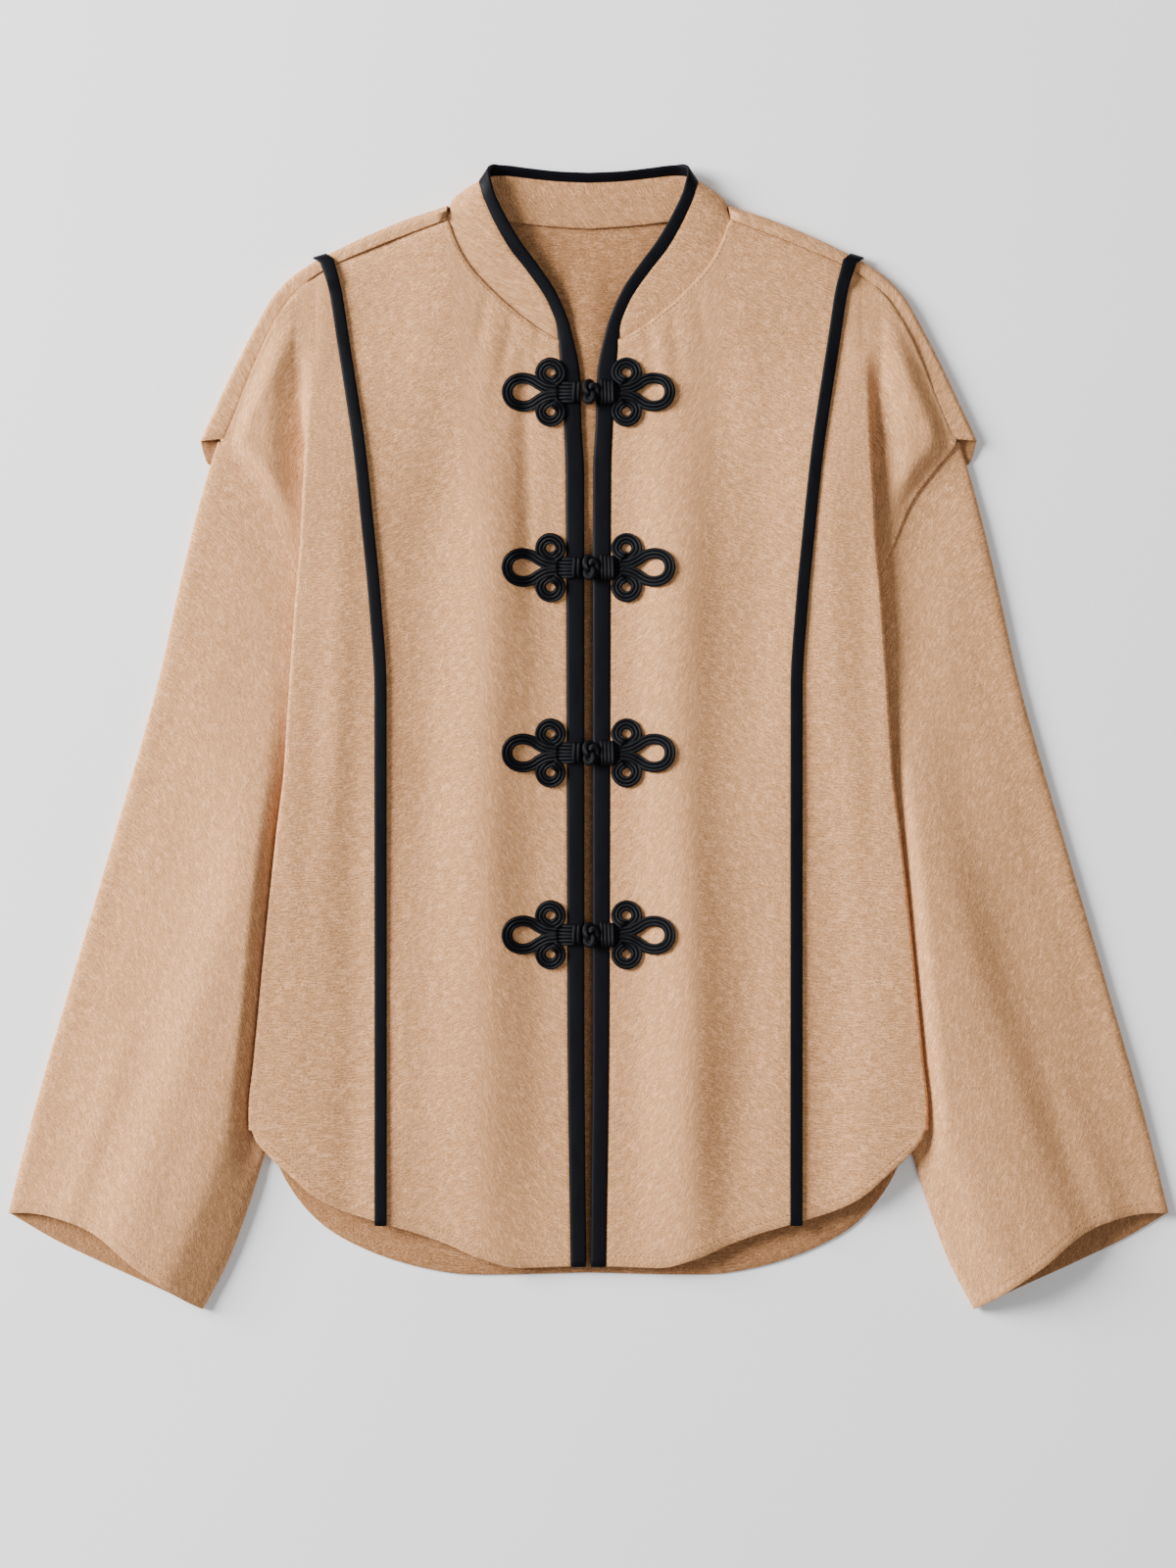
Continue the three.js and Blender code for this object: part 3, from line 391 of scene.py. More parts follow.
def side_section(y, side, steps, thickness):
    """Section of a side front: out to the fold, round it, under, and on to the seam, as x and z."""
    turn = math.radians(float(fold["turn"](y)))
    back = math.radians(float(fold["back"](y)))
    reach = FOLD_ARC / turn * (1 if turn > math.pi / 2 else math.sin(turn))
    start = float(fold["edge_x"](y)) - reach
    flat = np.linspace(float(princess_x(y)) + SEAM_GAP / 2, start, steps[0] + 1)
    points = list(zip(flat, front_z(flat, y, side)))
    heading = 0.0
    for count, length, turning in (
        (steps[1], FOLD_ARC, -turn), (steps[2], float(fold["depth"](y)), 0), (steps[3], FOLD_ARC, back),
    ):
        for _ in range(count):
            heading += turning / count / 2
            x, z = points[-1]
            points.append((x + math.cos(heading) * length / count, z + math.sin(heading) * length / count))
            heading += turning / count / 2
    x, z = points[-1]
    standing = thickness + 3 * SEAM_GAP
    out = 1.0 if y > 100 else float(smooth(fold["back"](y), 95, 150))
    length = (z - standing) * (1 - out) + max(float(fold["seam_x"](y)) - x, 2) * out
    for t in np.linspace(0, 1, steps[4] + 1)[1:]:
        points.append((x + length * out * t, z + (standing - z) * (1 - out) * t))
    return np.array(points)


def meet(x_of, y_of, low, high):
    """Height at which the line x(y) crosses the curve y(x)."""
    for _ in range(40):
        y = (low + high) / 2
        if y < y_of(x_of(y)):
            low = y
        else:
            high = y
    return (low + high) / 2


def row_shares(above, below):
    share = (CAP_Y - UNDERARM_Y) / (CAP_Y - HEM_SIDE_Y)
    return np.concatenate([np.linspace(0, share, above + 1), np.linspace(share, 1, below + 1)[1:]])


def side_front_grid(side, thickness, steps=(30, 12, 8, 12, 18), rows=(60, 70)):
    heights = np.linspace(-340, 335, 700)
    sections = np.array([side_section(y, side, steps, thickness) for y in heights])
    shares = row_shares(*rows)
    grid = np.empty((len(shares), sections.shape[1], 3))
    for j in range(sections.shape[1]):
        def x_of(y, xs=sections[:, j, 0]):
            return np.interp(y, heights, xs)

        top = meet(x_of, shoulder_y, *SHOULDER_Y_RANGE)
        hem = meet(x_of, front_hem_y, -335, -200)
        y = top + (hem - top) * shares
        grid[:, j, 0] = x_of(y)
        grid[:, j, 1] = y
        grid[:, j, 2] = np.interp(y, heights, sections[:, j, 1])
    swell = grid[:, -steps[4]:]
    x, y = swell[..., 0], swell[..., 1]
    beside = x - fold["edge_x"](y)
    high = SWELL * smooth(beside, *SWELL_FROM_FOLD) * smooth(shoulder_y(x) - y, *SWELL_FROM_SHOULDER)
    high = high * smooth(fold["seam_x"](y) - x, *SWELL_FROM_ARMHOLE)
    swell[..., 2] += high * smooth(y, *SWELL_ABOVE)
    return grid


def centre_front_grid(side, rows=(60, 70)):
    corner = SHOULDER["seam_x"][0]
    last = float(princess_x(PRINCESS_TOP_Y)) - SEAM_GAP / 2
    tops = np.concatenate([np.linspace(NECK_END_X, corner, 34)[:-1], np.linspace(corner, last, 30)])
    shares = row_shares(*rows)
    edge_top = float(neck_y(tops[0]))
    grid = np.empty((len(shares), len(tops), 3))
    for j, x in enumerate(tops):
        top = float(neck_y(x) if x < corner else shoulder_y(x))
        inner = float(panel_x(top)) + SEAM_GAP
        part = 1.0 if j == len(tops) - 1 else (x - inner) / (float(princess_x(top)) - SEAM_GAP / 2 - inner)
        part = max(part, 0.0)

        def x_of(y, part=part):
            left = panel_x(np.minimum(y, edge_top)) + SEAM_GAP
            return left + (princess_x(y) - SEAM_GAP / 2 - left) * part

        if j == len(tops) - 1:
            top = meet(x_of, shoulder_y, *SHOULDER_Y_RANGE)
        y = top + (meet(x_of, front_hem_y, -336, -200) - top) * shares
        grid[:, j, 0] = x_of(y)
        grid[:, j, 1] = y
        grid[:, j, 2] = front_z(grid[:, j, 0], y, side)
    return grid


def shoulder_fold(row, thickness):
    """Round of the back over the shoulder at one place of the seam."""
    seam = np.array([row["seam_x"], row["seam_y"]])
    edge = np.array([row["edge_x"], row["edge_y"]])
    width = np.linalg.norm(edge - seam)
    out = (edge - seam) / width
    top_z = float(front_z(seam[0], seam[1])) + thickness + SEAM_GAP
    floor = thickness / 2
    radius = (top_z - floor) / 2
    wide = min(radius, width - thickness / 2 - LAP - 0.5)
    centre = edge - out * (thickness / 2 + wide)
    return {"seam": seam, "out": out, "top_z": top_z, "radius": radius, "wide": wide,
            "centre": centre, "mid_z": floor + radius}


def fold_point(part, angle, centre=None):
    plan = (part["centre"] if centre is None else centre) + part["out"] * part["wide"] * math.cos(angle)
    plan = plan - np.array(EAR_DROP) * part.get("ear", 0) * float(np.clip(0.05 - math.sin(angle), 0, 1))
    return np.array([plan[0], plan[1], part["mid_z"] + part["radius"] * math.sin(angle)])


def shoulder_at(share, thickness):
    """The fold at a share of the shoulder, 0 at the neck and 1 at the cap."""
    at = np.linspace(0, 1, len(SHOULDER["seam_x"]))
    row = {name: float(column({"t": at, name: SHOULDER[name]}, "t", name)(share)) for name in SHOULDER}
    return shoulder_fold(row, thickness)


def coons(left, right, top, bottom):
    """Patch between four edges, each a list of places."""
    v = np.linspace(0, 1, len(left))[:, None, None]
    u = np.linspace(0, 1, len(top))[None, :, None]
    return (
        (1 - u) * left[:, None] + u * right[:, None] + (1 - v) * top[None] + v * bottom[None]
        - ((1 - u) * (1 - v) * top[0] + u * (1 - v) * top[-1]
           + (1 - u) * v * bottom[0] + u * v * bottom[-1])
    )


def back_grid(thickness, rows=90, neck_count=20, bend_count=6, shoulder_count=36, arc_count=12):
    floor = thickness / 2
    neck_line = column({name: COLLAR_BACK[name][::-1] for name in ("seam_x", "seam_y")}, "seam_x", "seam_y")
    neck = np.array([(x, float(neck_line(x))) for x in np.linspace(0, 84, neck_count)])
    folds = [shoulder_at(t, thickness) for t in np.linspace(0, 1, shoulder_count)]
    for part, t in zip(folds, np.linspace(0, 1, shoulder_count)):
        part["ear"] = float(smooth(t, 0.86, 1)) ** 2
    corner = folds[0]["centre"]
    shares = np.linspace(0, 1, bend_count + 2)[1:-1]
    bends = np.array([neck[-1] + (corner - neck[-1]) * (0.74 + 0.24 * t) for t in shares])
    caps = [part["centre"] - np.array(EAR_DROP) * part["ear"] for part in folds]
    tops = np.concatenate([neck, bends, caps])
    heights = np.linspace(0, 1, rows + 1)
    side_rows = {name: BACK_SIDE[name][::-1] for name in BACK_SIDE}
    side_y = tops[-1][1] + (side_rows["y"][0] - tops[-1][1]) * heights
    side_x = column(side_rows, "y", "x")(side_y)
    blend = smooth(side_y, 170, tops[-1][1])
    side = np.column_stack([side_x * (1 - blend) + tops[-1][0] * blend, side_y])
    middle = np.column_stack([np.zeros(rows + 1), neck[0][1] + (BACK_HEM["y"][0] - neck[0][1]) * heights])
    hem = route(BACK_HEM)(np.linspace(0, 1, len(tops)))
    plan = coons(middle, side, tops, hem)
    calm = smooth(plan[..., 1], 345, 300) * smooth(plan[..., 1], -345, -300)
    level = floor + np.maximum(0, 0.5 * uneven(plan[..., 0] * 0.8, plan[..., 1] * 0.6, 4)) * calm
    level = np.where(plan[..., 0] < BACK_FLAT_FROM_X, level, floor)
    rise = BACK_RISE * np.exp(-((plan[..., 0] / BACK_RISE_WIDE) ** 2)) * smooth(plan[..., 1], 90, 150)
    level = level + rise * smooth(plan[..., 1], 312, 270)
    lines = [np.dstack([plan[..., 0], plan[..., 1], level])[::-1]]
    before = len(neck)
    last = None
    for step, angle in enumerate(np.linspace(-math.pi / 2, math.pi / 2, arc_count + 1)[1:]):
        row = []
        for k, point in enumerate(tops):
            if k < before:
                row.append((point[0], point[1] + 0.15 * (step + 1), floor))
                continue
            share = shares[k - before] if k < before + bend_count else 1.0
            part = folds[max(k - before - bend_count, 0)]
            at = point + np.array(EAR_DROP) * (part["ear"] if share == 1 else 0)
            row.append(fold_point(part, -math.pi / 2 + (angle + math.pi / 2) * share, at))
        last = np.array(row)
        lines.append(last[None])
    onward = last - lines[-2][0]
    onward *= 0.4 / np.linalg.norm(onward, axis=1)[:, None]
    for t in (0.35, 0.7, 1.0):
        row = last.copy()
        row[: before + bend_count] += onward[: before + bend_count] * t
        for k, part in enumerate(folds):
            end = np.array([*part["seam"], part["top_z"]])
            row[before + bend_count + k] += (end - row[before + bend_count + k]) * t
        lines.append(row[None])
    half = np.concatenate(lines)
    return np.concatenate([half[:, :0:-1] * (-1, 1, 1), half], axis=1)


def collar_half(thickness, fine=5):
    """Lines of the collar's base, its top and the binding's free edge, front end to centre back."""
    drop = thickness / 2 + 2.2 * SEAM_GAP + COLLAR_CLOTH / 2
    back_z = thickness + SEAM_GAP + COLLAR_CLOTH / 2
    base, top, free = [], [], []
    for x, y, tx, ty, tz, *edge in zip(*COLLAR_FRONT.values()):
        under = np.array([x, y, float(front_z(x, y)) - drop])
        above = np.array([tx, ty, tz])
        away = (under - above) * (1, 1, 0)
        base.append(under + away / np.linalg.norm(away) * LAP)
        top.append(above)
        free.append(edge)
    corner = shoulder_at(0, thickness)
    high = base[-1][2]
    turn = {"centre": corner["centre"] + COLLAR_CORNER, "out": corner["out"], "wide": COLLAR_CORNER_WIDE,
            "radius": (high - back_z) / 2, "mid_z": (high + back_z) / 2}
    for degrees, (*above, x, y, z) in zip((75, 40, 0, -40, -75), zip(*COLLAR_TURN.values())):
        base.append(fold_point(turn, math.radians(degrees)))
        top.append(above)
        free.append((x, y, z))
    for x, y, tx, ty, *edge in zip(*COLLAR_BACK.values()):
        under = np.array([x, y, back_z])
        above = np.array([tx, ty, back_z])
        base.append(under + (under - above) / np.linalg.norm(under - above) * LAP)
        top.append(above)
        free.append(edge)
    return [refine(line, fine) for line in (base, top, free)]


def refine(points, fine):
    """More points on a round curve through the given ones."""
    points = np.array(points)
    ends = np.concatenate([[2 * points[0] - points[1]], points, [2 * points[-1] - points[-2]]])
    t = np.linspace(0, 1, fine, endpoint=False)[:, None]
    line = []
    for p0, p1, p2, p3 in zip(ends, ends[1:], ends[2:], ends[3:]):
        line.append(0.5 * (2 * p1 + (p2 - p0) * t + (2 * p0 - 5 * p1 + 4 * p2 - p3) * t**2
                           + (3 * p1 - p0 - 3 * p2 + p3) * t**3))
    return np.concatenate([*line, points[-1:]])


def both_ways(half):
    """A half line, carried on to the other side of the garment."""
    return np.concatenate([half, half[-2::-1] * (-1, 1, 1)])


def collar_grid(thickness):
    base, top, _ = (both_ways(line) for line in collar_half(thickness))
    t = np.linspace(0, 1, 13)[None, :, None]
    grid = base[:, None] * (1 - t) + top[:, None] * t
    along = np.linspace(0, 1, len(base))[:, None]
    grid[..., 2] += 0.35 * np.sin(t[..., 0] * math.pi) * (1 + 0.6 * np.sin(along * 40))
    row = np.arange(len(base))[:, None]
    from_turn = np.minimum(abs(row - COLLAR_TURN_ROW), abs(len(base) - 1 - row - COLLAR_TURN_ROW))
    full = COLLAR_FULL * np.exp(-((from_turn / COLLAR_TURN_SPAN) ** 2)) * np.sin(math.pi * t[..., 0] ** 0.6)
    grid[..., 0] += 0.6 * full * np.sign(base[:, :1])
    grid[..., 1] += 0.8 * full
    return grid


def binding_grid(thickness):
    hem_y = float(front_hem_y(10))
    y = np.linspace(hem_y, 245, 150)
    level = front_z(panel_x(y), y)
    fine = 6
    _, top, free = (line[fine:] for line in collar_half(thickness, fine))
    away = free - top
    away /= np.linalg.norm(away, axis=1)[:, None]
    top = top + away * 2.5 * SEAM_GAP
    outer = both_ways(np.concatenate([np.column_stack([panel_x(y), y, level]), top]))
    inner = both_ways(np.concatenate([np.column_stack([free_x(y), y, level]), free]))
    t = np.linspace(0, 1, 9)[None, :, None]
    grid = outer[:, None] * (1 - t) + inner[:, None] * t
    grid[..., 2] += 0.3 * (1 - (2 * t[..., 0] - 1) ** 2)
    return grid


def tape_grid(side, thickness):
    half = TAPE_WIDTH / 2
    lift = thickness / 2 + 2.6 * SEAM_GAP + TAPE / 2
    bottom = float(front_hem_y(131)) - 1.5
    y = np.concatenate([np.linspace(bottom, 284, 150), [288, 291]])
    across = np.linspace(-1, 1, 7)
    slant = (princess_x(y + 1) - princess_x(y - 1)) / 2
    grid = np.empty((len(y), len(across), 3))
    grid[..., 0] = princess_x(y)[:, None] + across * half
    grid[..., 1] = y[:, None] - across * half * slant[:, None]
    grid[..., 2] = front_z(princess_x(y), y, side)[:, None] + lift
    grid[..., 2] += np.where(y > 285, thickness + SEAM_GAP, 0)[:, None]
    part = shoulder_fold(TAPE_SPOT, thickness)
    raised = {**part, "wide": part["wide"] + lift, "radius": part["radius"] + lift}
    turned = np.array([part["out"][1], -part["out"][0], 0])
    over = []
    for angle in np.radians((90, 72, 54, 36, 18, 0, -15)):
        beside = across[:, None] * half * TAPE_SLANTED + TAPE_LEAN * math.cos(angle)
        over.append(fold_point(raised, angle) + beside * turned)
    grid = np.concatenate([grid, over])
    grid[..., 2] += 0.25 * (1 - across**2)
    return grid


def sleeve_grid(side, thickness, rows=110, across_count=56):
    """A flattened tube, its head lapped inside the armhole and its cuff open."""
    outer, inner = route(SLEEVE_OUTER), route(SLEEVE_INNER)
    ends = np.linspace(0, 1, 7)[:-1] ** 1.5 * SLEEVE_EDGE
    across = np.concatenate([ends, np.linspace(SLEEVE_EDGE, 1 - SLEEVE_EDGE, across_count), 1 - ends[::-1]])
    down = np.concatenate([[-0.008, 0.0, 0.006, 0.018], np.linspace(0.03, 1, rows)])
    d = down[:, None]
    a = across[None, :]

    def sheet(head, cuff):
        head, cuff = route(head), route(cuff)
        edge = outer(down)[:, None] * (1 - a[..., None]) + inner(down)[:, None] * a[..., None]
        rims = head(across)[None] * (1 - d[..., None]) + cuff(across)[None] * d[..., None]
        corners = (
            outer(0.0) * ((1 - a) * (1 - d))[..., None] + inner(0.0) * (a * (1 - d))[..., None]
            + outer(1.0) * ((1 - a) * d)[..., None] + inner(1.0) * (a * d)[..., None]
        )
        return edge + rims - corners

    step_up = thickness + SEAM_GAP
    low = thickness / 2 + step_up * (1 - smooth(d, 0.03, 0.055))
    high = FRONT_LEVEL - step_up + (step_up - 0.6) * smooth(d, 0.03, 0.1)
    open_ = np.sqrt(1 - (1 - np.minimum(np.minimum(a, 1 - a) / SLEEVE_EDGE, 1)) ** 2)
    middle = (low + high) / 2
    place = sheet(FRONT_ARMHOLE, FRONT_CUFF)
    x, y = place[..., 0], place[..., 1]
    hidden = smooth(fold["edge_x"](y) - x, *UNDER_BODY)
    hidden = np.where(y > BESIDE_HEM_Y[1], hidden, hidden * smooth(y, *BESIDE_HEM_Y))
    loft = ridges(a, d, SLEEVE_FOLDS[side]) + uneven(x, y, 2 + side)
    loft = loft + SLEEVE_SWELL * np.sin(math.pi * np.clip(a, 0, 1) ** 1.8) ** 1.1 * smooth(d, 0.05, 0.45)
    loft = loft * smooth(d, 0.04, 0.16) * np.sqrt(open_) * (1 - hidden)
    front = np.dstack([place, middle + (high - middle) * open_ + np.maximum(loft, SLEEVE_TROUGH)])
    place = sheet(BACK_ARMHOLE, BACK_CUFF)
    behind = np.dstack([place, middle + (low - middle) * open_])
    return np.concatenate([front, behind[:, -2:0:-1]], axis=1)


def cloth_normals(grid, closed):
    if closed:
        along = np.roll(grid, -1, axis=1) - np.roll(grid, 1, axis=1)
    else:
        along = np.gradient(grid, axis=1)
    normal = np.cross(along, np.gradient(grid, axis=0))
    return normal / np.maximum(np.linalg.norm(normal, axis=2, keepdims=True), 1e-9)


def piece_object(name, points, faces, uvs, material, side=1, inner=None):
    """A mesh object in metres at the origin, its faces outward and its UV map in metres."""
    points = np.array(points, dtype=float)
    points[:, 0] *= side
    if side < 0:
        faces = [face[::-1] for face in faces]
        uvs = [uv[::-1] for uv in uvs]
    points = points * MM + (0, SHIFT_Y, 0)
    mesh = bpy.data.meshes.new(name)
    mesh.from_pydata(points.tolist(), [], faces)
    layer = mesh.uv_layers.new(name="cloth")
    layer.data.foreach_set("uv", np.array([c for uv in uvs for c in uv], dtype=np.float32).ravel())
    mesh.polygons.foreach_set("use_smooth", [True] * len(mesh.polygons))
    mesh.materials.append(material)
    # The inner mask marks the faces that get painted shade
    if inner is not None:
        mask = mesh.attributes.new("inner", "FLOAT", "FACE")
        mask.data.foreach_set("value", np.array(inner, dtype=np.float32))
    mesh.update()
    obj = bpy.data.objects.new(name, mesh)
    bpy.context.scene.collection.objects.link(obj)
    return obj


def shell(grid, thickness, closed=False, rim=3, bulge=0.6):
    """Closed cloth wall about a grid of middle points, with rounded edges.

    Gives its points, faces and UVs, and for each face whether it is on the first or the second skin.
    """
    rows, cols = grid.shape[:2]
    normal = cloth_normals(grid, closed)
    if closed:
        ring = np.concatenate([grid, grid[:, :1]], axis=1)
    else:
        ring = grid
    across = np.cumsum(np.linalg.norm(np.diff(ring, axis=1, prepend=ring[:, :1]), axis=2), axis=1)
    down = np.cumsum(np.linalg.norm(np.diff(ring, axis=0, prepend=ring[:1]), axis=2), axis=0)
    uv = np.dstack([across.mean(axis=0)[None] + 0 * across, down]) * MM
    points = [(grid + normal * thickness / 2).reshape(-1, 3), (grid - normal * thickness / 2).reshape(-1, 3)]
    index = np.arange(rows * cols).reshape(rows, cols)
    size = rows * cols
    faces, uvs, skins = [], [], []
    spans = cols if closed else cols - 1
    for i in range(rows - 1):
        for j in range(spans):
            k = (j + 1) % cols
            quad = (index[i, j], index[i, k], index[i + 1, k], index[i + 1, j])
            marks = (uv[i, j], uv[i, j + 1], uv[i + 1, j + 1], uv[i + 1, j])
            faces.append(quad)
            uvs.append(marks)
            faces.append(tuple(v + size for v in quad[::-1]))
            uvs.append(marks[::-1])
            skins += [0, 1]
    loops = []
    if closed:
        loops.append(([(0, j % cols) for j in range(cols + 1)], [(0, j) for j in range(cols + 1)], -1))
        last = rows - 1
        loops.append(([(last, j % cols) for j in range(cols, -1, -1)],
                      [(last, j) for j in range(cols, -1, -1)], 1))
    else:
        around = [(0, j) for j in range(cols)]
        around += [(i, cols - 1) for i in range(1, rows)]
        around += [(rows - 1, j) for j in range(cols - 2, -1, -1)]
        around += [(i, 0) for i in range(rows - 2, -1, -1)]
        loops.append((around, around, 0))
    down_way = np.gradient(grid, axis=0)
    along_way = np.gradient(grid, axis=1)
    count = 2 * size
    for places, marks, way in loops:
        rings = [[index[p] for p in places]]
        out = []
        for i, j in places:
            if way:
                direction = down_way[i, j] * way
            else:
                direction = np.zeros(3)
                for at, ends, ways in ((i, (0, rows - 1), down_way), (j, (0, cols - 1), along_way)):
                    if at in ends:
                        direction = direction + ways[i, j] / np.linalg.norm(ways[i, j]) * (1 if at else -1)
            out.append(direction / max(np.linalg.norm(direction), 1e-9))
        out = np.array(out)
        unique = len(places) - 1
        for turn in np.linspace(0, math.pi, rim + 2)[1:-1]:
            spots = []
            for n in range(unique):
                i, j = places[n]
                spots.append(grid[i, j] + thickness / 2 * (
                    math.cos(turn) * normal[i, j] + bulge * math.sin(turn) * out[n]))
            points.append(np.array(spots))
            rings.append([count + n % unique for n in range(unique + 1)])
            count += unique
        rings.append([index[p] + size for p in places])
        for upper, lower in zip(rings, rings[1:]):
            for n in range(len(places) - 1):
                faces.append((upper[n], lower[n], lower[n + 1], upper[n + 1]))
                a, b = uv[marks[n]], uv[marks[n + 1]]
                uvs.append((a, a, b, b))
                skins.append(0.5)
    points = np.concatenate(points)
    corners = points[[face[:3] for face in faces[: 2 * (rows - 1) * spans]]]
    volume = np.sum(corners[:, 0] * np.cross(corners[:, 1], corners[:, 2]))
    if volume < 0:
        faces = [face[::-1] for face in faces]
        uvs = [marks[::-1] for marks in uvs]
    return points, faces, uvs, skins


def grid_area(grid, closed=False):
    """Area in square metres, and the longest row and column in metres, of a grid's cloth."""
    if closed:
        grid = np.concatenate([grid, grid[:, :1]], axis=1)
    a = grid[1:, :-1] - grid[:-1, :-1]
    b = grid[:-1, 1:] - grid[:-1, :-1]
    area = np.linalg.norm(np.cross(a, b), axis=2).sum() * MM * MM
    wide = np.linalg.norm(np.diff(grid, axis=1), axis=2).sum(axis=1).max() * MM
    long = np.linalg.norm(np.diff(grid, axis=0), axis=2).sum(axis=0).max() * MM
    return area, wide, long


def sewn_cloth(name, grid, thickness, material, side=1, closed=False,
               painted_shade_skin=None, painted_shade_strength=1.0):
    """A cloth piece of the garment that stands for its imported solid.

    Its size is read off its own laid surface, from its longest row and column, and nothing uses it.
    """
    *skin, skins = shell(grid, thickness, closed)
    # Painted shade mask: rims and each piece's inner skin darken the cloth's colour, standing for shade
    # along seams and edges and inside the garment
    inner = [RIM_PAINTED_SHADE if k == 0.5 else painted_shade_strength * (k == painted_shade_skin) for k in skins]
    piece = piece_object(name + "_cloth", *skin, material, side, inner)
    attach(piece, "root")
    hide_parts(name)
    area, wide, long = grid_area(grid, closed)
    wide, long = (max(math.ceil(size * 1000) / 1000, LEAST_CUT) for size in (wide, long))
    return piece


def new_group(name, values):
    """A shader node group that turns a UV place into the named values, and its two ends."""
    group = bpy.data.node_groups.new(name, "ShaderNodeTree")
    group.interface.new_socket("UV", in_out="INPUT", socket_type="NodeSocketVector")
    for label in values:
        group.interface.new_socket(label, in_out="OUTPUT", socket_type="NodeSocketFloat")
    return group, group.nodes.new("NodeGroupInput"), group.nodes.new("NodeGroupOutput")


class Nodes:
    """Short ways to add and join nodes in one tree."""

    def __init__(self, tree):
        self.tree = tree

    def add(self, kind, *links, **values):
        node = self.tree.nodes.new(kind)
        for name, value in values.items():
            if hasattr(node, name):
                setattr(node, name, value)
            else:
                node.inputs[name].default_value = value
        for socket, source in links:
            self.tree.links.new(source, node.inputs[socket])
        return node

    def math(self, operation, a, b=None):
        node = self.tree.nodes.new("ShaderNodeMath")
        node.operation = operation
        for k, value in enumerate((a, b)):
            if value is None:
                continue
            if isinstance(value, (int, float)):
                node.inputs[k].default_value = value
            else:
                self.tree.links.new(value, node.inputs[k])
        return node.outputs[0]

    def noise(self, vector, scale, detail, stretch=(1, 1, 1), offset=(0, 0, 0)):
        moved = self.add("ShaderNodeMapping", ("Vector", vector), Scale=stretch, Location=offset)
        return self.add("ShaderNodeTexNoise", ("Vector", moved.outputs[0]), Scale=scale, Detail=detail,
                        Roughness=0.6).outputs["Fac"]

    def spread(self, value, low, high, out_low=0.0, out_high=1.0):
        node = self.add("ShaderNodeMapRange", ("Value", value))
        limits = {"From Min": low, "From Max": high, "To Min": out_low, "To Max": out_high}
        for label, number in limits.items():
            node.inputs[label].default_value = number
        return node.outputs[0]

    def mix(self, factor, a, b, blend="MIX"):
        node = self.tree.nodes.new("ShaderNodeMix")
        node.data_type = "RGBA"
        node.blend_type = blend
        for socket, value in ((node.inputs[0], factor), (node.inputs[6], a), (node.inputs[7], b)):
            if isinstance(value, (int, float, tuple)):
                socket.default_value = value
            else:
                self.tree.links.new(value, socket)
        return node.outputs[2]


def weave_group(pitch):
    """Plain weave of uneven yarns: flecks, slubs along the weft, cloudy tone and thread height."""
    group, start, end = new_group("blouse_weave", ("Fleck", "Slub", "Cloud", "Curl", "Height"))
    n = Nodes(group)
    uv = start.outputs["UV"]
    split = n.add("ShaderNodeSeparateXYZ", ("Vector", uv))
    warp_wander = n.noise(uv, 320, 2, (1, 0.3, 1))
    weft_wander = n.noise(uv, 260, 2, (0.2, 1, 1), (3, 1, 0))
    turns = 2 * math.pi / pitch
    warp = n.math("SINE", n.math("ADD", n.math("MULTIPLY", split.outputs[0], turns),
                                 n.math("MULTIPLY", warp_wander, 5.0)))
    weft = n.math("SINE", n.math("ADD", n.math("MULTIPLY", split.outputs[1], turns),
                                 n.math("MULTIPLY", weft_wander, 5.0)))
    threads = n.math("MULTIPLY", n.math("ADD", n.math("MULTIPLY", warp, weft), 1.0), 0.5)
    fine = n.noise(uv, 1500, 2)
    fleck = n.noise(uv, 1300, 2, (0.6, 1.2, 1), (7, 2, 0))
    slub = n.noise(uv, 1300, 2, (0.14, 1.0, 1), (1, 9, 0))
    cloud = n.noise(uv, 55, 3, (0.6, 1.4, 1), (4, 4, 0))
    curl = n.math("ABSOLUTE", n.math("SUBTRACT", n.noise(uv, 420, 2, (0.7, 1.3, 1), (2, 6, 0)), 0.5))
    broken = n.spread(n.noise(uv, 190, 2, offset=(8, 3, 0)), 0.49, 0.56)
    curl = n.math("MULTIPLY", n.spread(curl, 0.05, 0.02), broken)
    height = n.math("ADD", n.math("MULTIPLY", threads, 0.5), n.math("MULTIPLY", fine, 0.5))
    height = n.math("ADD", height, n.math("MULTIPLY", slub, 0.5))
    for label, value in (("Fleck", fleck), ("Slub", slub), ("Cloud", cloud), ("Curl", curl),
                         ("Height", height)):
        group.links.new(value, end.inputs[label])
    return group


def use_group(n, group, uv):
    node = n.add("ShaderNodeGroup")
    node.node_tree = group
    n.tree.links.new(uv, node.inputs["UV"])
    return node.outputs


def finish_shader(material, n, color, rough, height, strength, distance, **values):
    """Joins colour, roughness and bump to the material's shader and sets its plain values."""
    shader = next(node for node in material.node_tree.nodes if node.type == "BSDF_PRINCIPLED")
    n.tree.links.new(color, shader.inputs["Base Color"])
    n.tree.links.new(rough, shader.inputs["Roughness"])
    bump = n.add("ShaderNodeBump", ("Height", height), Strength=strength, Distance=distance)
    n.tree.links.new(bump.outputs[0], shader.inputs["Normal"])
    for label, value in values.items():
        shader.inputs[label.replace("_", " ")].default_value = value
    return material


def new_material(name):
    material = bpy.data.materials.get(name)
    if material:
        return material, None, None
    material = bpy.data.materials.new(name)
    material.use_nodes = True
    n = Nodes(material.node_tree)
    uv = n.add("ShaderNodeUVMap", uv_map="cloth").outputs[0]
    return material, n, uv


def shade(color, factor):
    return (color[0] * factor, color[1] * factor, color[2] * factor, 1.0)


def paler(color, factors):
    return tuple(min(part * factor, 1) for part, factor in zip(color, factors)) + (1.0,)


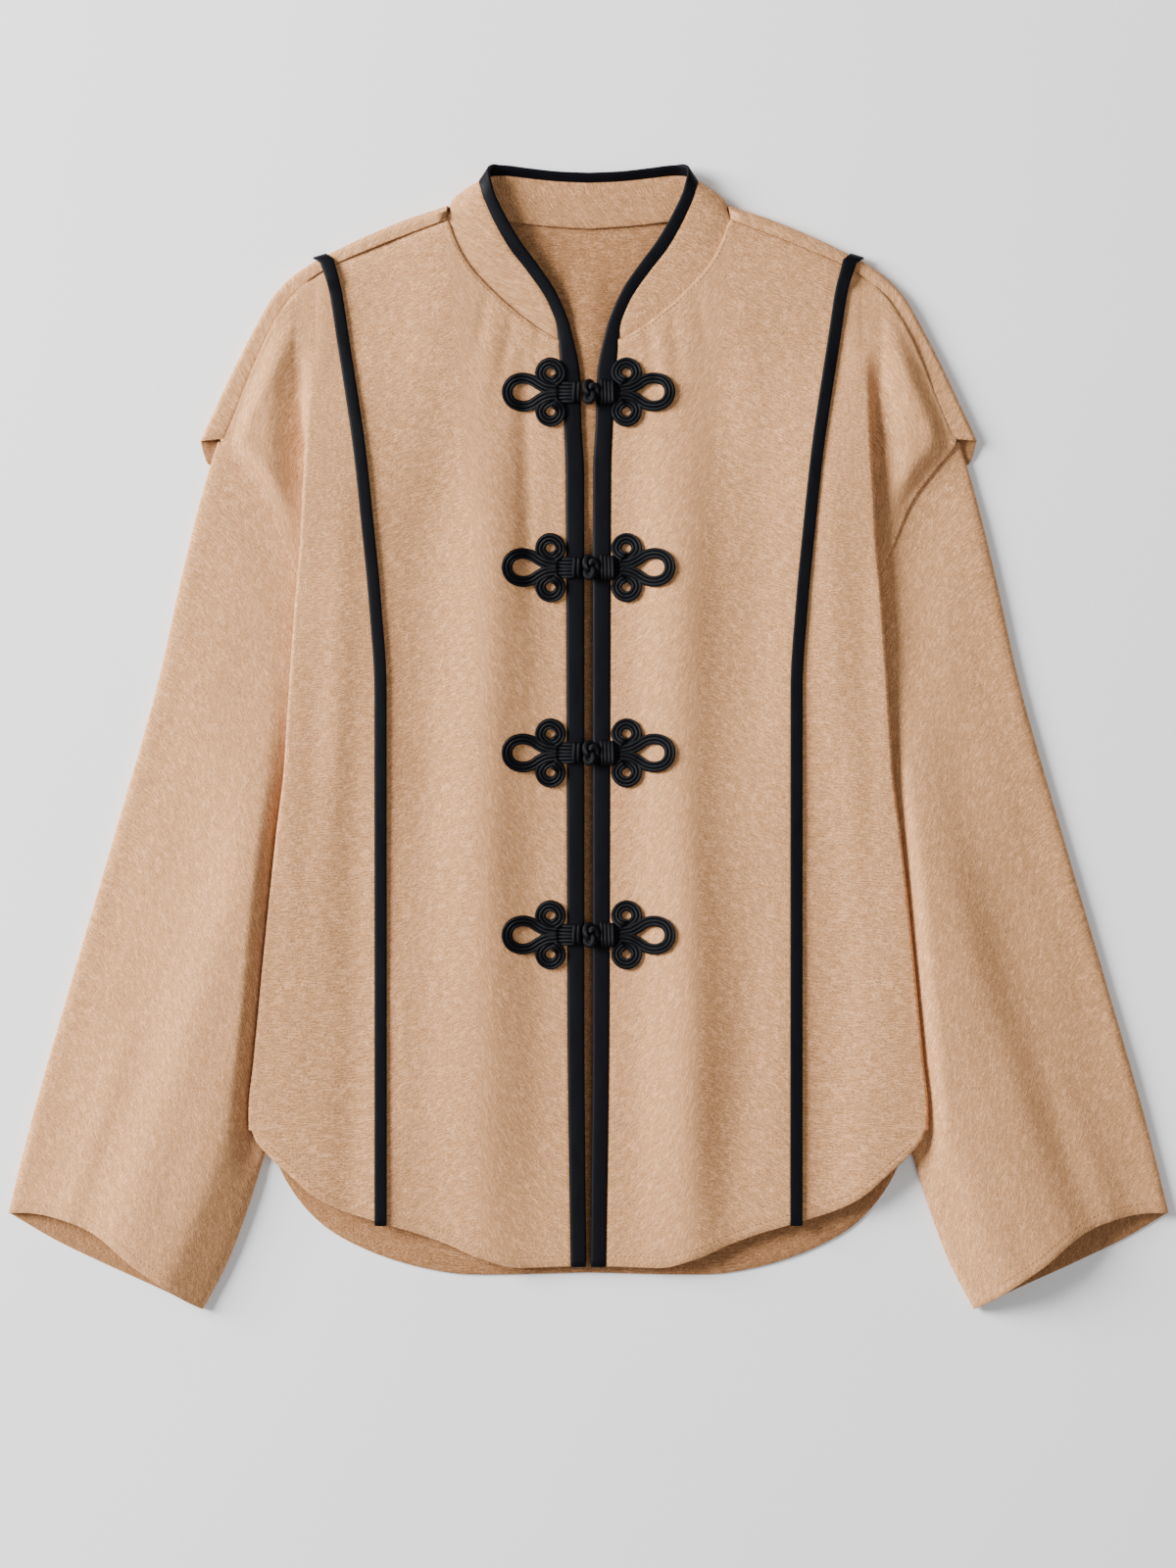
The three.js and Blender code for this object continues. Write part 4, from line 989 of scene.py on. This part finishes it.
def camel_material(settings):
    material, n, uv = new_material("camel_suiting")
    if n is None:
        return material
    weave = use_group(n, weave_group(settings.weave_pitch), uv)
    base = settings.cloth_color
    tone = n.mix(n.spread(weave["Cloud"], 0.3, 0.7), shade(base, 0.955), shade(base, 1.045))
    pale = paler(base, (1.45, 1.5, 1.6))
    bright = paler(base, (1.6, 1.7, 2.0))
    tone = n.mix(n.spread(weave["Fleck"], 0.51, 0.62, 0, 0.9), tone, pale)
    tone = n.mix(n.spread(weave["Fleck"], 0.49, 0.38, 0, 0.9), tone, shade(base, 0.6))
    tone = n.mix(weave["Curl"], tone, bright)
    tone = n.mix(n.spread(weave["Slub"], 0.52, 0.64, 0, 0.6), tone, pale)
    tone = n.mix(n.spread(weave["Slub"], 0.48, 0.36, 0, 0.7), tone, shade(base, 0.66))
    # Painted shade: faces marked by the inner attribute are multiplied towards this brown, as shade inside
    # the garment and along seams and edges
    inner = n.add("ShaderNodeAttribute", attribute_name="inner").outputs["Fac"]
    tone = n.mix(inner, tone, (0.64, 0.61, 0.58, 1), "MULTIPLY")
    rough = n.spread(weave["Fleck"], 0.3, 0.7, 0.82, 0.95)
    return finish_shader(material, n, tone, rough, weave["Height"], 0.3, 0.0003,
                         Sheen_Weight=0.03, Sheen_Roughness=0.5, Specular_IOR_Level=0.12)


def satin_material(settings):
    material, n, uv = new_material("black_satin_tape")
    if n is None:
        return material
    base = settings.trim_color
    split = n.add("ShaderNodeSeparateXYZ", ("Vector", uv))
    slant = n.math("ADD", split.outputs[0], n.math("MULTIPLY", split.outputs[1], 0.55))
    twill = n.math("SINE", n.math("MULTIPLY", slant, 2 * math.pi / (settings.weave_pitch * 0.8)))
    cloud = n.noise(uv, 140, 3, (1, 0.35, 1))
    lint = n.noise(uv, 1900, 2, offset=(5, 5, 0))
    tone = n.mix(n.spread(cloud, 0.3, 0.7), shade(base, 0.75), shade(base, 1.35))
    tone = n.mix(n.spread(lint, 0.66, 0.8, 0, 0.5), tone, shade(base, 3.2))
    rough = n.spread(cloud, 0.3, 0.7, 0.42, 0.56)
    height = n.math("ADD", n.math("MULTIPLY", twill, 0.3), n.math("MULTIPLY", cloud, 1.2))
    return finish_shader(material, n, tone, rough, height, 0.3, 0.0003,
                         Specular_IOR_Level=0.1)


def cord_material(settings):
    material, n, uv = new_material("black_twisted_cord")
    if n is None:
        return material
    base = settings.trim_color
    split = n.add("ShaderNodeSeparateXYZ", ("Vector", uv))
    slant = n.math("ADD", split.outputs[0], n.math("MULTIPLY", split.outputs[1], 0.9))
    strand = n.math("SINE", n.math("MULTIPLY", slant, 2 * math.pi / 0.0011))
    fuzz = n.noise(uv, 1600, 2)
    # Painted light and shade: strand tops lighter and grooves between strands darker, following the strand
    # bump
    tone = n.mix(n.spread(strand, -1, 1), shade(base, 0.45), shade(base, 1.5))
    tone = n.mix(n.spread(fuzz, 0.6, 0.8, 0, 0.5), tone, shade(base, 3.0))
    rough = n.spread(fuzz, 0.3, 0.7, 0.42, 0.6)
    height = n.math("ADD", strand, n.math("MULTIPLY", fuzz, 0.8))
    return finish_shader(material, n, tone, rough, height, 0.6, 0.0002,
                         Specular_IOR_Level=0.15)


def thread_material(settings):
    material, n, uv = new_material("camel_thread")
    if n is None:
        return material
    twist = n.noise(uv, 900, 2)
    base = settings.cloth_color
    tone = n.mix(n.spread(twist, 0.3, 0.7), shade(base, 0.7), shade(base, 0.95))
    rough = n.spread(twist, 0.3, 0.7, 0.6, 0.75)
    return finish_shader(material, n, tone, rough, twist, 0.3, 0.0001,
                         Specular_IOR_Level=0.2)


def tube(points, radius, sides=10, flat=1.0, closed=False):
    """A cord's skin along a line of points, with closed ends: points, faces and UVs."""
    points = np.array(points)
    count = len(points)
    if closed:
        tangent = np.roll(points, -1, axis=0) - np.roll(points, 1, axis=0)
    else:
        tangent = np.gradient(points, axis=0)
    tangent /= np.maximum(np.linalg.norm(tangent, axis=1)[:, None], 1e-9)
    up = np.array([0.0, 0.0, 1.0])
    side = np.cross(tangent, up)
    small = np.linalg.norm(side, axis=1) < 0.25
    side[small] = np.cross(tangent[small], [0.0, 1.0, 0.0])
    side /= np.linalg.norm(side, axis=1)[:, None]
    lift = np.cross(side, tangent)
    turns = np.linspace(0, 2 * math.pi, sides, endpoint=False)
    ring = (points[:, None] + radius * (np.cos(turns)[None, :, None] * side[:, None]
                                        + flat * np.sin(turns)[None, :, None] * lift[:, None]))
    gone = np.concatenate([[0], np.cumsum(np.linalg.norm(np.diff(points, axis=0), axis=1))]) * MM
    girth = 2 * math.pi * radius * MM / sides
    faces, uvs = [], []
    for i in range(count if closed else count - 1):
        after = (i + 1) % count
        v0 = gone[i]
        v1 = gone[i + 1] if i + 1 < count else gone[i] + gone[1]
        for j in range(sides):
            k = (j + 1) % sides
            faces.append((i * sides + j, after * sides + j, after * sides + k, i * sides + k))
            uvs.append(((j * girth, v0), (j * girth, v1), ((j + 1) * girth, v1), ((j + 1) * girth, v0)))
    verts = [*ring.reshape(-1, 3)]
    if not closed:
        for end, way in ((0, -1), (count - 1, 1)):
            verts.append(points[end] + tangent[end] * way * radius * 0.6)
            tip = len(verts) - 1
            for j in range(sides):
                k = (j + 1) % sides
                a, b = end * sides + j, end * sides + k
                faces.append((a, b, tip) if way < 0 else (b, a, tip))
                uvs.append(((j * girth, gone[end]), ((j + 1) * girth, gone[end]), (j * girth, gone[end])))
    return np.array(verts), [face[::-1] for face in faces], [tuple(uv[::-1]) for uv in uvs]


def joined(parts):
    """Several skins as one: points, faces and UVs."""
    points, faces, uvs = [], [], []
    count = 0
    for some_points, some_faces, some_uvs in parts:
        points.append(some_points)
        faces += [tuple(v + count for v in face) for face in some_faces]
        uvs += some_uvs
        count += len(some_points)
    return np.concatenate(points), faces, uvs


# Middle lines of a frog's flat bands of three cords, outward from the opening
SMALL_PETAL = (
    (7.5, 3.3), (13, 3.3), (18.5, 3.6), (24.5, 5.2), (29, 8.6), (30.3, 12.6), (28.2, 16.8), (24, 18.5),
    (19.8, 16.8), (17.6, 12.8), (18.8, 9.0), (22, 6.6),
)
BIG_PETAL = (
    (20, 1.4), (26, 2.2), (31, 4.6), (36, 7.8), (42, 8.9), (47.8, 7.0), (50.9, 2.6), (50.9, -2.6),
    (47.8, -7.0), (42, -8.9), (36, -7.8), (31, -4.6), (26, -2.2), (20, -1.4),
)


# Wraps round a frog's stem: where they lie, how far they reach up and down it, and their radius
WRAP_DEEP = 2.3
RIGHT_WRAPS = {"places": (8.4, 10.7, 13, 15.2), "high": 7.2, "narrowing": 0.25, "radius": 1.45}
LEFT_WRAPS = {"places": (6.2, 8.9), "high": 5.4, "narrowing": 0, "radius": 1.4}


def band(line, radius, level, rise):
    """Three cords side by side along a middle line, raised by rise where it passes over others."""
    line = refine([(x, y, 0.0) for x, y in line], 7)
    tangent = np.gradient(line, axis=0)
    tangent /= np.linalg.norm(tangent, axis=1)[:, None]
    beside = np.column_stack([-tangent[:, 1], tangent[:, 0], 0 * tangent[:, 0]])
    share = np.linspace(0, 1, len(line))
    cords = []
    for offset in (-1.92, 0.0, 1.92):
        path = line + beside * offset * radius
        path[:, 2] = level + radius + rise(share) + (0.15 if offset == 0 else 0)
        cords.append(tube(path, radius, 9, 0.9))
    return cords


def wrapped(x, high, deep, radius, level):
    """One turn of cord round a stem, across it."""
    turns = np.linspace(0, 2 * math.pi, 40, endpoint=False)
    ring = np.column_stack([np.full(40, x), high * np.cos(turns), level + deep * np.sin(turns)])
    return tube(ring, radius, 8, closed=True)


def frog_skin(settings, y, side):
    """Petals, stem and wrap of one half of a fastening, out from the opening at a height y."""
    radius = settings.cord_size / 2 / MM
    level = FRONT_LEVEL + 1.2 / 2 + 0.4
    over = FRONT_LEVEL + BINDING / 2 + SEAM_GAP - level

    def on_binding(share):
        return (over + 0.5) * (1 - smooth(share, 0.08, 0.2))

    def small_rise(share):
        return on_binding(share) + 1.4 * smooth(share, 0.84, 0.97)

    def big_rise(share):
        return 1.0 * (1 - smooth(np.minimum(share, 1 - share), 0.08, 0.2))

    parts = []
    for way in (1, -1):
        parts += band([(px, py * way) for px, py in SMALL_PETAL], radius, level, small_rise)
    parts += band(BIG_PETAL, radius, level, big_rise)
    wrap_level = level + over + radius + 0.6
    wraps = RIGHT_WRAPS if side > 0 else LEFT_WRAPS
    for k, x in enumerate(wraps["places"]):
        high = wraps["high"] - wraps["narrowing"] * k
        parts.append(wrapped(x, high, WRAP_DEEP, wraps["radius"], wrap_level))
    points, faces, uvs = joined(parts)
    points[:, 1] += y
    points[:, 2] += front_z(points[:, 0], points[:, 1], side) - FRONT_LEVEL
    return points, faces, uvs


def knot_skin(y):
    """Ball knot of one interlaced cord, long along +Y."""
    turns = np.linspace(0, 2 * math.pi, 220, endpoint=False)
    ring = 2.8 + 1.45 * np.cos(3 * turns)
    level = FRONT_LEVEL + BINDING / 2 + SEAM_GAP + 4.2
    line = np.column_stack([1.4 + ring * np.cos(2 * turns), y + ring * np.sin(2 * turns) * 1.55,
                            level + 2.0 * np.sin(3 * turns)])
    core = np.linspace(-4.6, 4.6, 9)
    heart = np.column_stack([0 * core + 1.4, y + core, np.full(9, level - 0.4)])
    return joined([tube(line, 2.0, 12, closed=True), tube(heart, 2.4, 12)])


def stitch_row(line, length, radius=0.2):
    """Small sewn stitches along a line that lies on the cloth."""
    line = np.array(line)
    gone = np.concatenate([[0], np.cumsum(np.linalg.norm(np.diff(line, axis=0), axis=1))])
    parts = []
    for start in np.arange(STITCH_APART, gone[-1] - length, length + STITCH_APART):
        ends = np.column_stack([np.interp([start, start + length / 2, start + length], gone, line[:, k])
                                for k in range(3)])
        ends[:, 2] += np.array([-0.5, 0.6, -0.5]) * radius
        parts.append(tube(ends, radius, 5))
    return parts


def inset_line(line, distance):
    """A line moved sideways over the cloth, to its right when the distance is above 0."""
    way = np.gradient(line, axis=0)
    way /= np.linalg.norm(way, axis=1)[:, None]
    return line + np.column_stack([way[:, 1], -way[:, 0]]) * distance


def settings_of(context):
    return context.scene.blouse


class BlouseSettings(bpy.types.PropertyGroup):
    cloth_thickness: bpy.props.FloatProperty(
        name="Cloth", description="Thickness of the suiting, as in the packed solids",
        default=0.0012, unit="LENGTH", precision=4)
    weave_pitch: bpy.props.FloatProperty(
        name="Weave pitch", description="Distance between two threads of the weave",
        default=0.0009, unit="LENGTH", precision=4)
    cord_size: bpy.props.FloatProperty(
        name="Cord", description="Diameter of the cord that the frogs are bent from",
        default=0.0024, unit="LENGTH", precision=4)
    stitch_length: bpy.props.FloatProperty(
        name="Stitch", description="Length of one stitch of the hems",
        default=0.0022, unit="LENGTH", precision=4)
    cloth_color: bpy.props.FloatVectorProperty(
        name="Cloth colour", description="Colour of the suiting", subtype="COLOR", size=3,
        default=(0.535, 0.263, 0.114))
    trim_color: bpy.props.FloatVectorProperty(
        name="Trim colour", description="Colour of the binding, the tapes and the cords", subtype="COLOR",
        size=3, default=(0.0016, 0.0017, 0.0034))
    floor_color: bpy.props.FloatVectorProperty(
        name="Floor colour", description="Colour of the surface below", subtype="COLOR", size=3,
        default=(1.0, 1.0, 1.0))
    key_power: bpy.props.FloatProperty(
        name="Key light", description="Power of the soft light at the upper left",
        default=530.0, unit="POWER")


def cloth_of(context):
    return settings_of(context).cloth_thickness / MM


class BLOUSE_OT_back(bpy.types.Operator):
    """Make the back panel, folded forward over both shoulders"""
    bl_idname = "blouse.back"
    bl_label = "Back"

    def execute(self, context):
        cloth = cloth_of(context)
        camel = camel_material(settings_of(context))
        sewn_cloth("back", back_grid(cloth), cloth, camel, painted_shade_skin=BACK_INNER)
        return {"FINISHED"}


class BLOUSE_OT_fronts(bpy.types.Operator):
    """Make the centre fronts and the side fronts that fold over the sleeves"""
    bl_idname = "blouse.fronts"
    bl_label = "Fronts"

    def execute(self, context):
        cloth = cloth_of(context)
        camel = camel_material(settings_of(context))
        for name, side in SIDES.items():
            sewn_cloth(f"front_centre_{name}", centre_front_grid(side), cloth, camel,
                       side)
            sewn_cloth(f"front_side_{name}", side_front_grid(side, cloth), cloth, camel,
                       side)
        return {"FINISHED"}


class BLOUSE_OT_sleeves(bpy.types.Operator):
    """Make both wide sleeves, with their open cuffs"""
    bl_idname = "blouse.sleeves"
    bl_label = "Sleeves"

    def execute(self, context):
        cloth = cloth_of(context)
        camel = camel_material(settings_of(context))
        for name, side in SIDES.items():
            sewn_cloth(f"sleeve_{name}", sleeve_grid(side, cloth), cloth, camel,
                       side, closed=True, painted_shade_skin=SLEEVE_INNER_SKIN)
        return {"FINISHED"}


class BLOUSE_OT_collar(bpy.types.Operator):
    """Make the stand collar, folded at both sides of the neck"""
    bl_idname = "blouse.collar"
    bl_label = "Collar"

    def execute(self, context):
        camel = camel_material(settings_of(context))
        sewn_cloth("collar", collar_grid(cloth_of(context)), COLLAR_CLOTH, camel,
                   painted_shade_skin=COLLAR_INNER, painted_shade_strength=COLLAR_PAINTED_SHADE)
        return {"FINISHED"}


class BLOUSE_OT_trims(bpy.types.Operator):
    """Make the black edge binding and the two princess tapes"""
    bl_idname = "blouse.trims"
    bl_label = "Binding and tapes"

    def execute(self, context):
        cloth = cloth_of(context)
        satin = satin_material(settings_of(context))
        sewn_cloth("edge_binding", binding_grid(cloth), BINDING, satin)
        for name, side in SIDES.items():
            sewn_cloth(f"tape_{name}", tape_grid(side, cloth), TAPE, satin,
                       side)
        return {"FINISHED"}


class BLOUSE_OT_frogs(bpy.types.Operator):
    """Make the cord frogs and their ball knots"""
    bl_idname = "blouse.frogs"
    bl_label = "Frogs"

    def execute(self, context):
        settings = settings_of(context)
        cord = cord_material(settings)
        for k, y in enumerate(FROG_Y, 1):
            for name, side in SIDES.items():
                self.place(f"frog_{name}_{k}", frog_skin(settings, y, side), cord, side)
            self.place(f"knot_{k}", knot_skin(y), cord, 1)
        return {"FINISHED"}

    def place(self, node, skin, material, side):
        piece = piece_object(node + "_cord", *skin, material, side)
        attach(piece, "root")
        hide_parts(node)


class BLOUSE_OT_stitching(bpy.types.Operator):
    """Sew the stitch lines of the hems, the cuffs and the collar seam"""
    bl_idname = "blouse.stitching"
    bl_label = "Stitching"

    def execute(self, context):
        settings = settings_of(context)
        cloth = cloth_of(context)
        length = settings.stitch_length / MM
        thread = thread_material(settings)
        for name, side in SIDES.items():
            parts = []
            for x in (np.linspace(15, 127, 60), np.linspace(135.5, 203, 40)):
                y = front_hem_y(x) + HEM_INSET
                parts += stitch_row(np.column_stack([x, y, front_z(x, y, side) + cloth / 2]), length)
            neck_x = np.linspace(23, 86, 40)
            inside = inset_line(np.column_stack([neck_x, neck_y(neck_x)]), COLLAR_INSET)
            level = front_z(inside[:, 0], inside[:, 1], side) + cloth / 2
            parts += stitch_row(np.column_stack([inside, level]), length)
            inside = inset_line(route(BACK_HEM)(np.linspace(0.0, 0.93, 90)), -HEM_INSET)
            parts += stitch_row(np.column_stack([inside, np.full(90, cloth)]), length)
            cuff = sleeve_grid(side, cloth)
            half_round = (cuff.shape[1] + 2) // 2
            inward = cuff[-2] - cuff[-1]
            inset = cuff[-1] + inward / np.linalg.norm(inward, axis=1)[:, None] * HEM_INSET
            for stretch in (slice(6, half_round - 6), slice(half_round + 4, -4)):
                parts += stitch_row(inset[stretch] + (0, 0, cloth / 2), length)
            piece = piece_object(f"stitches_{name}", *joined(parts), thread, side)
            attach(piece, "root")
        return {"FINISHED"}


class BLOUSE_OT_stage(bpy.types.Operator):
    """Make the pale floor, the soft lights and the camera straight above"""
    bl_idname = "blouse.stage"
    bl_label = "Stage"

    def execute(self, context):
        settings = settings_of(context)
        bpy.ops.object.select_all(action="DESELECT")
        bpy.ops.mesh.primitive_plane_add(size=8, location=(0, 0, -0.0003))
        floor = context.object
        floor.name = "floor"
        material = bpy.data.materials.new("pale_paper")
        material.use_nodes = True
        n = Nodes(material.node_tree)
        place = n.add("ShaderNodeTexCoord").outputs["Object"]
        grain = n.noise(place, 3, 4)
        base = settings.floor_color
        tone = n.mix(n.spread(grain, 0.3, 0.7), shade(base, 0.98), shade(base, 1.0))
        rough = n.spread(grain, 0.3, 0.7, 0.85, 0.95)
        finish_shader(material, n, tone, rough, n.noise(place, 900, 2), 0.1, 0.0002)
        floor.data.materials.append(material)
        for name, place, size, power in (
            ("key", KEY_PLACE, 1.9, settings.key_power),
            ("fill", FILL_PLACE, 2.4, settings.key_power * FILL_SHARE),
        ):
            light = bpy.data.lights.new(name, "AREA")
            light.size = size
            light.energy = power
            lamp = bpy.data.objects.new(name, light)
            context.scene.collection.objects.link(lamp)
            lamp.location = place
            way = -np.array(place)
            lamp.rotation_euler = (math.atan2(math.hypot(way[0], way[1]), -way[2]), 0,
                                   math.atan2(way[0], -way[1]) + math.pi)
        world = bpy.data.worlds.new("studio")
        world.use_nodes = True
        background = world.node_tree.nodes["Background"]
        background.inputs["Color"].default_value = WORLD_COLOR
        background.inputs["Strength"].default_value = WORLD_STRENGTH
        context.scene.world = world
        view = bpy.data.cameras.new("camera")
        view.sensor_width = SENSOR_WIDTH
        view.lens = SENSOR_WIDTH * CAMERA_HEIGHT / (PHOTO_ROWS * PHOTO_SCALE * MM)
        camera = bpy.data.objects.new("camera", view)
        context.scene.collection.objects.link(camera)
        camera.location = ((PHOTO_MIDDLE[0] - PHOTO_ORIGIN[0]) * PHOTO_SCALE * MM,
                           (PHOTO_ORIGIN[1] - PHOTO_MIDDLE[1]) * PHOTO_SCALE * MM + SHIFT_Y, CAMERA_HEIGHT)
        context.scene.camera = camera
        return {"FINISHED"}


STEPS = ("back", "sleeves", "fronts", "collar", "trims", "frogs", "stitching", "stage")


class BLOUSE_PT_panel(bpy.types.Panel):
    """Steps and settings of the blouse"""
    bl_idname = "BLOUSE_PT_panel"
    bl_label = "Blouse"
    bl_space_type = "VIEW_3D"
    bl_region_type = "UI"
    bl_category = "Blouse"

    def draw(self, context):
        for name in BlouseSettings.__annotations__:
            self.layout.prop(context.scene.blouse, name)
        for step in STEPS:
            self.layout.operator(f"blouse.{step}")


CLASSES = (
    BlouseSettings, BLOUSE_OT_back, BLOUSE_OT_fronts, BLOUSE_OT_sleeves, BLOUSE_OT_collar, BLOUSE_OT_trims,
    BLOUSE_OT_frogs, BLOUSE_OT_stitching, BLOUSE_OT_stage, BLOUSE_PT_panel,
)


def register():
    for cls in CLASSES:
        bpy.utils.register_class(cls)
    bpy.types.Scene.blouse = bpy.props.PointerProperty(type=BlouseSettings)


def unregister():
    del bpy.types.Scene.blouse
    for cls in reversed(CLASSES):
        bpy.utils.unregister_class(cls)


def main():
    register()
    for step in STEPS:
        getattr(bpy.ops.blouse, step)()


if __name__ == "__main__":
    main()
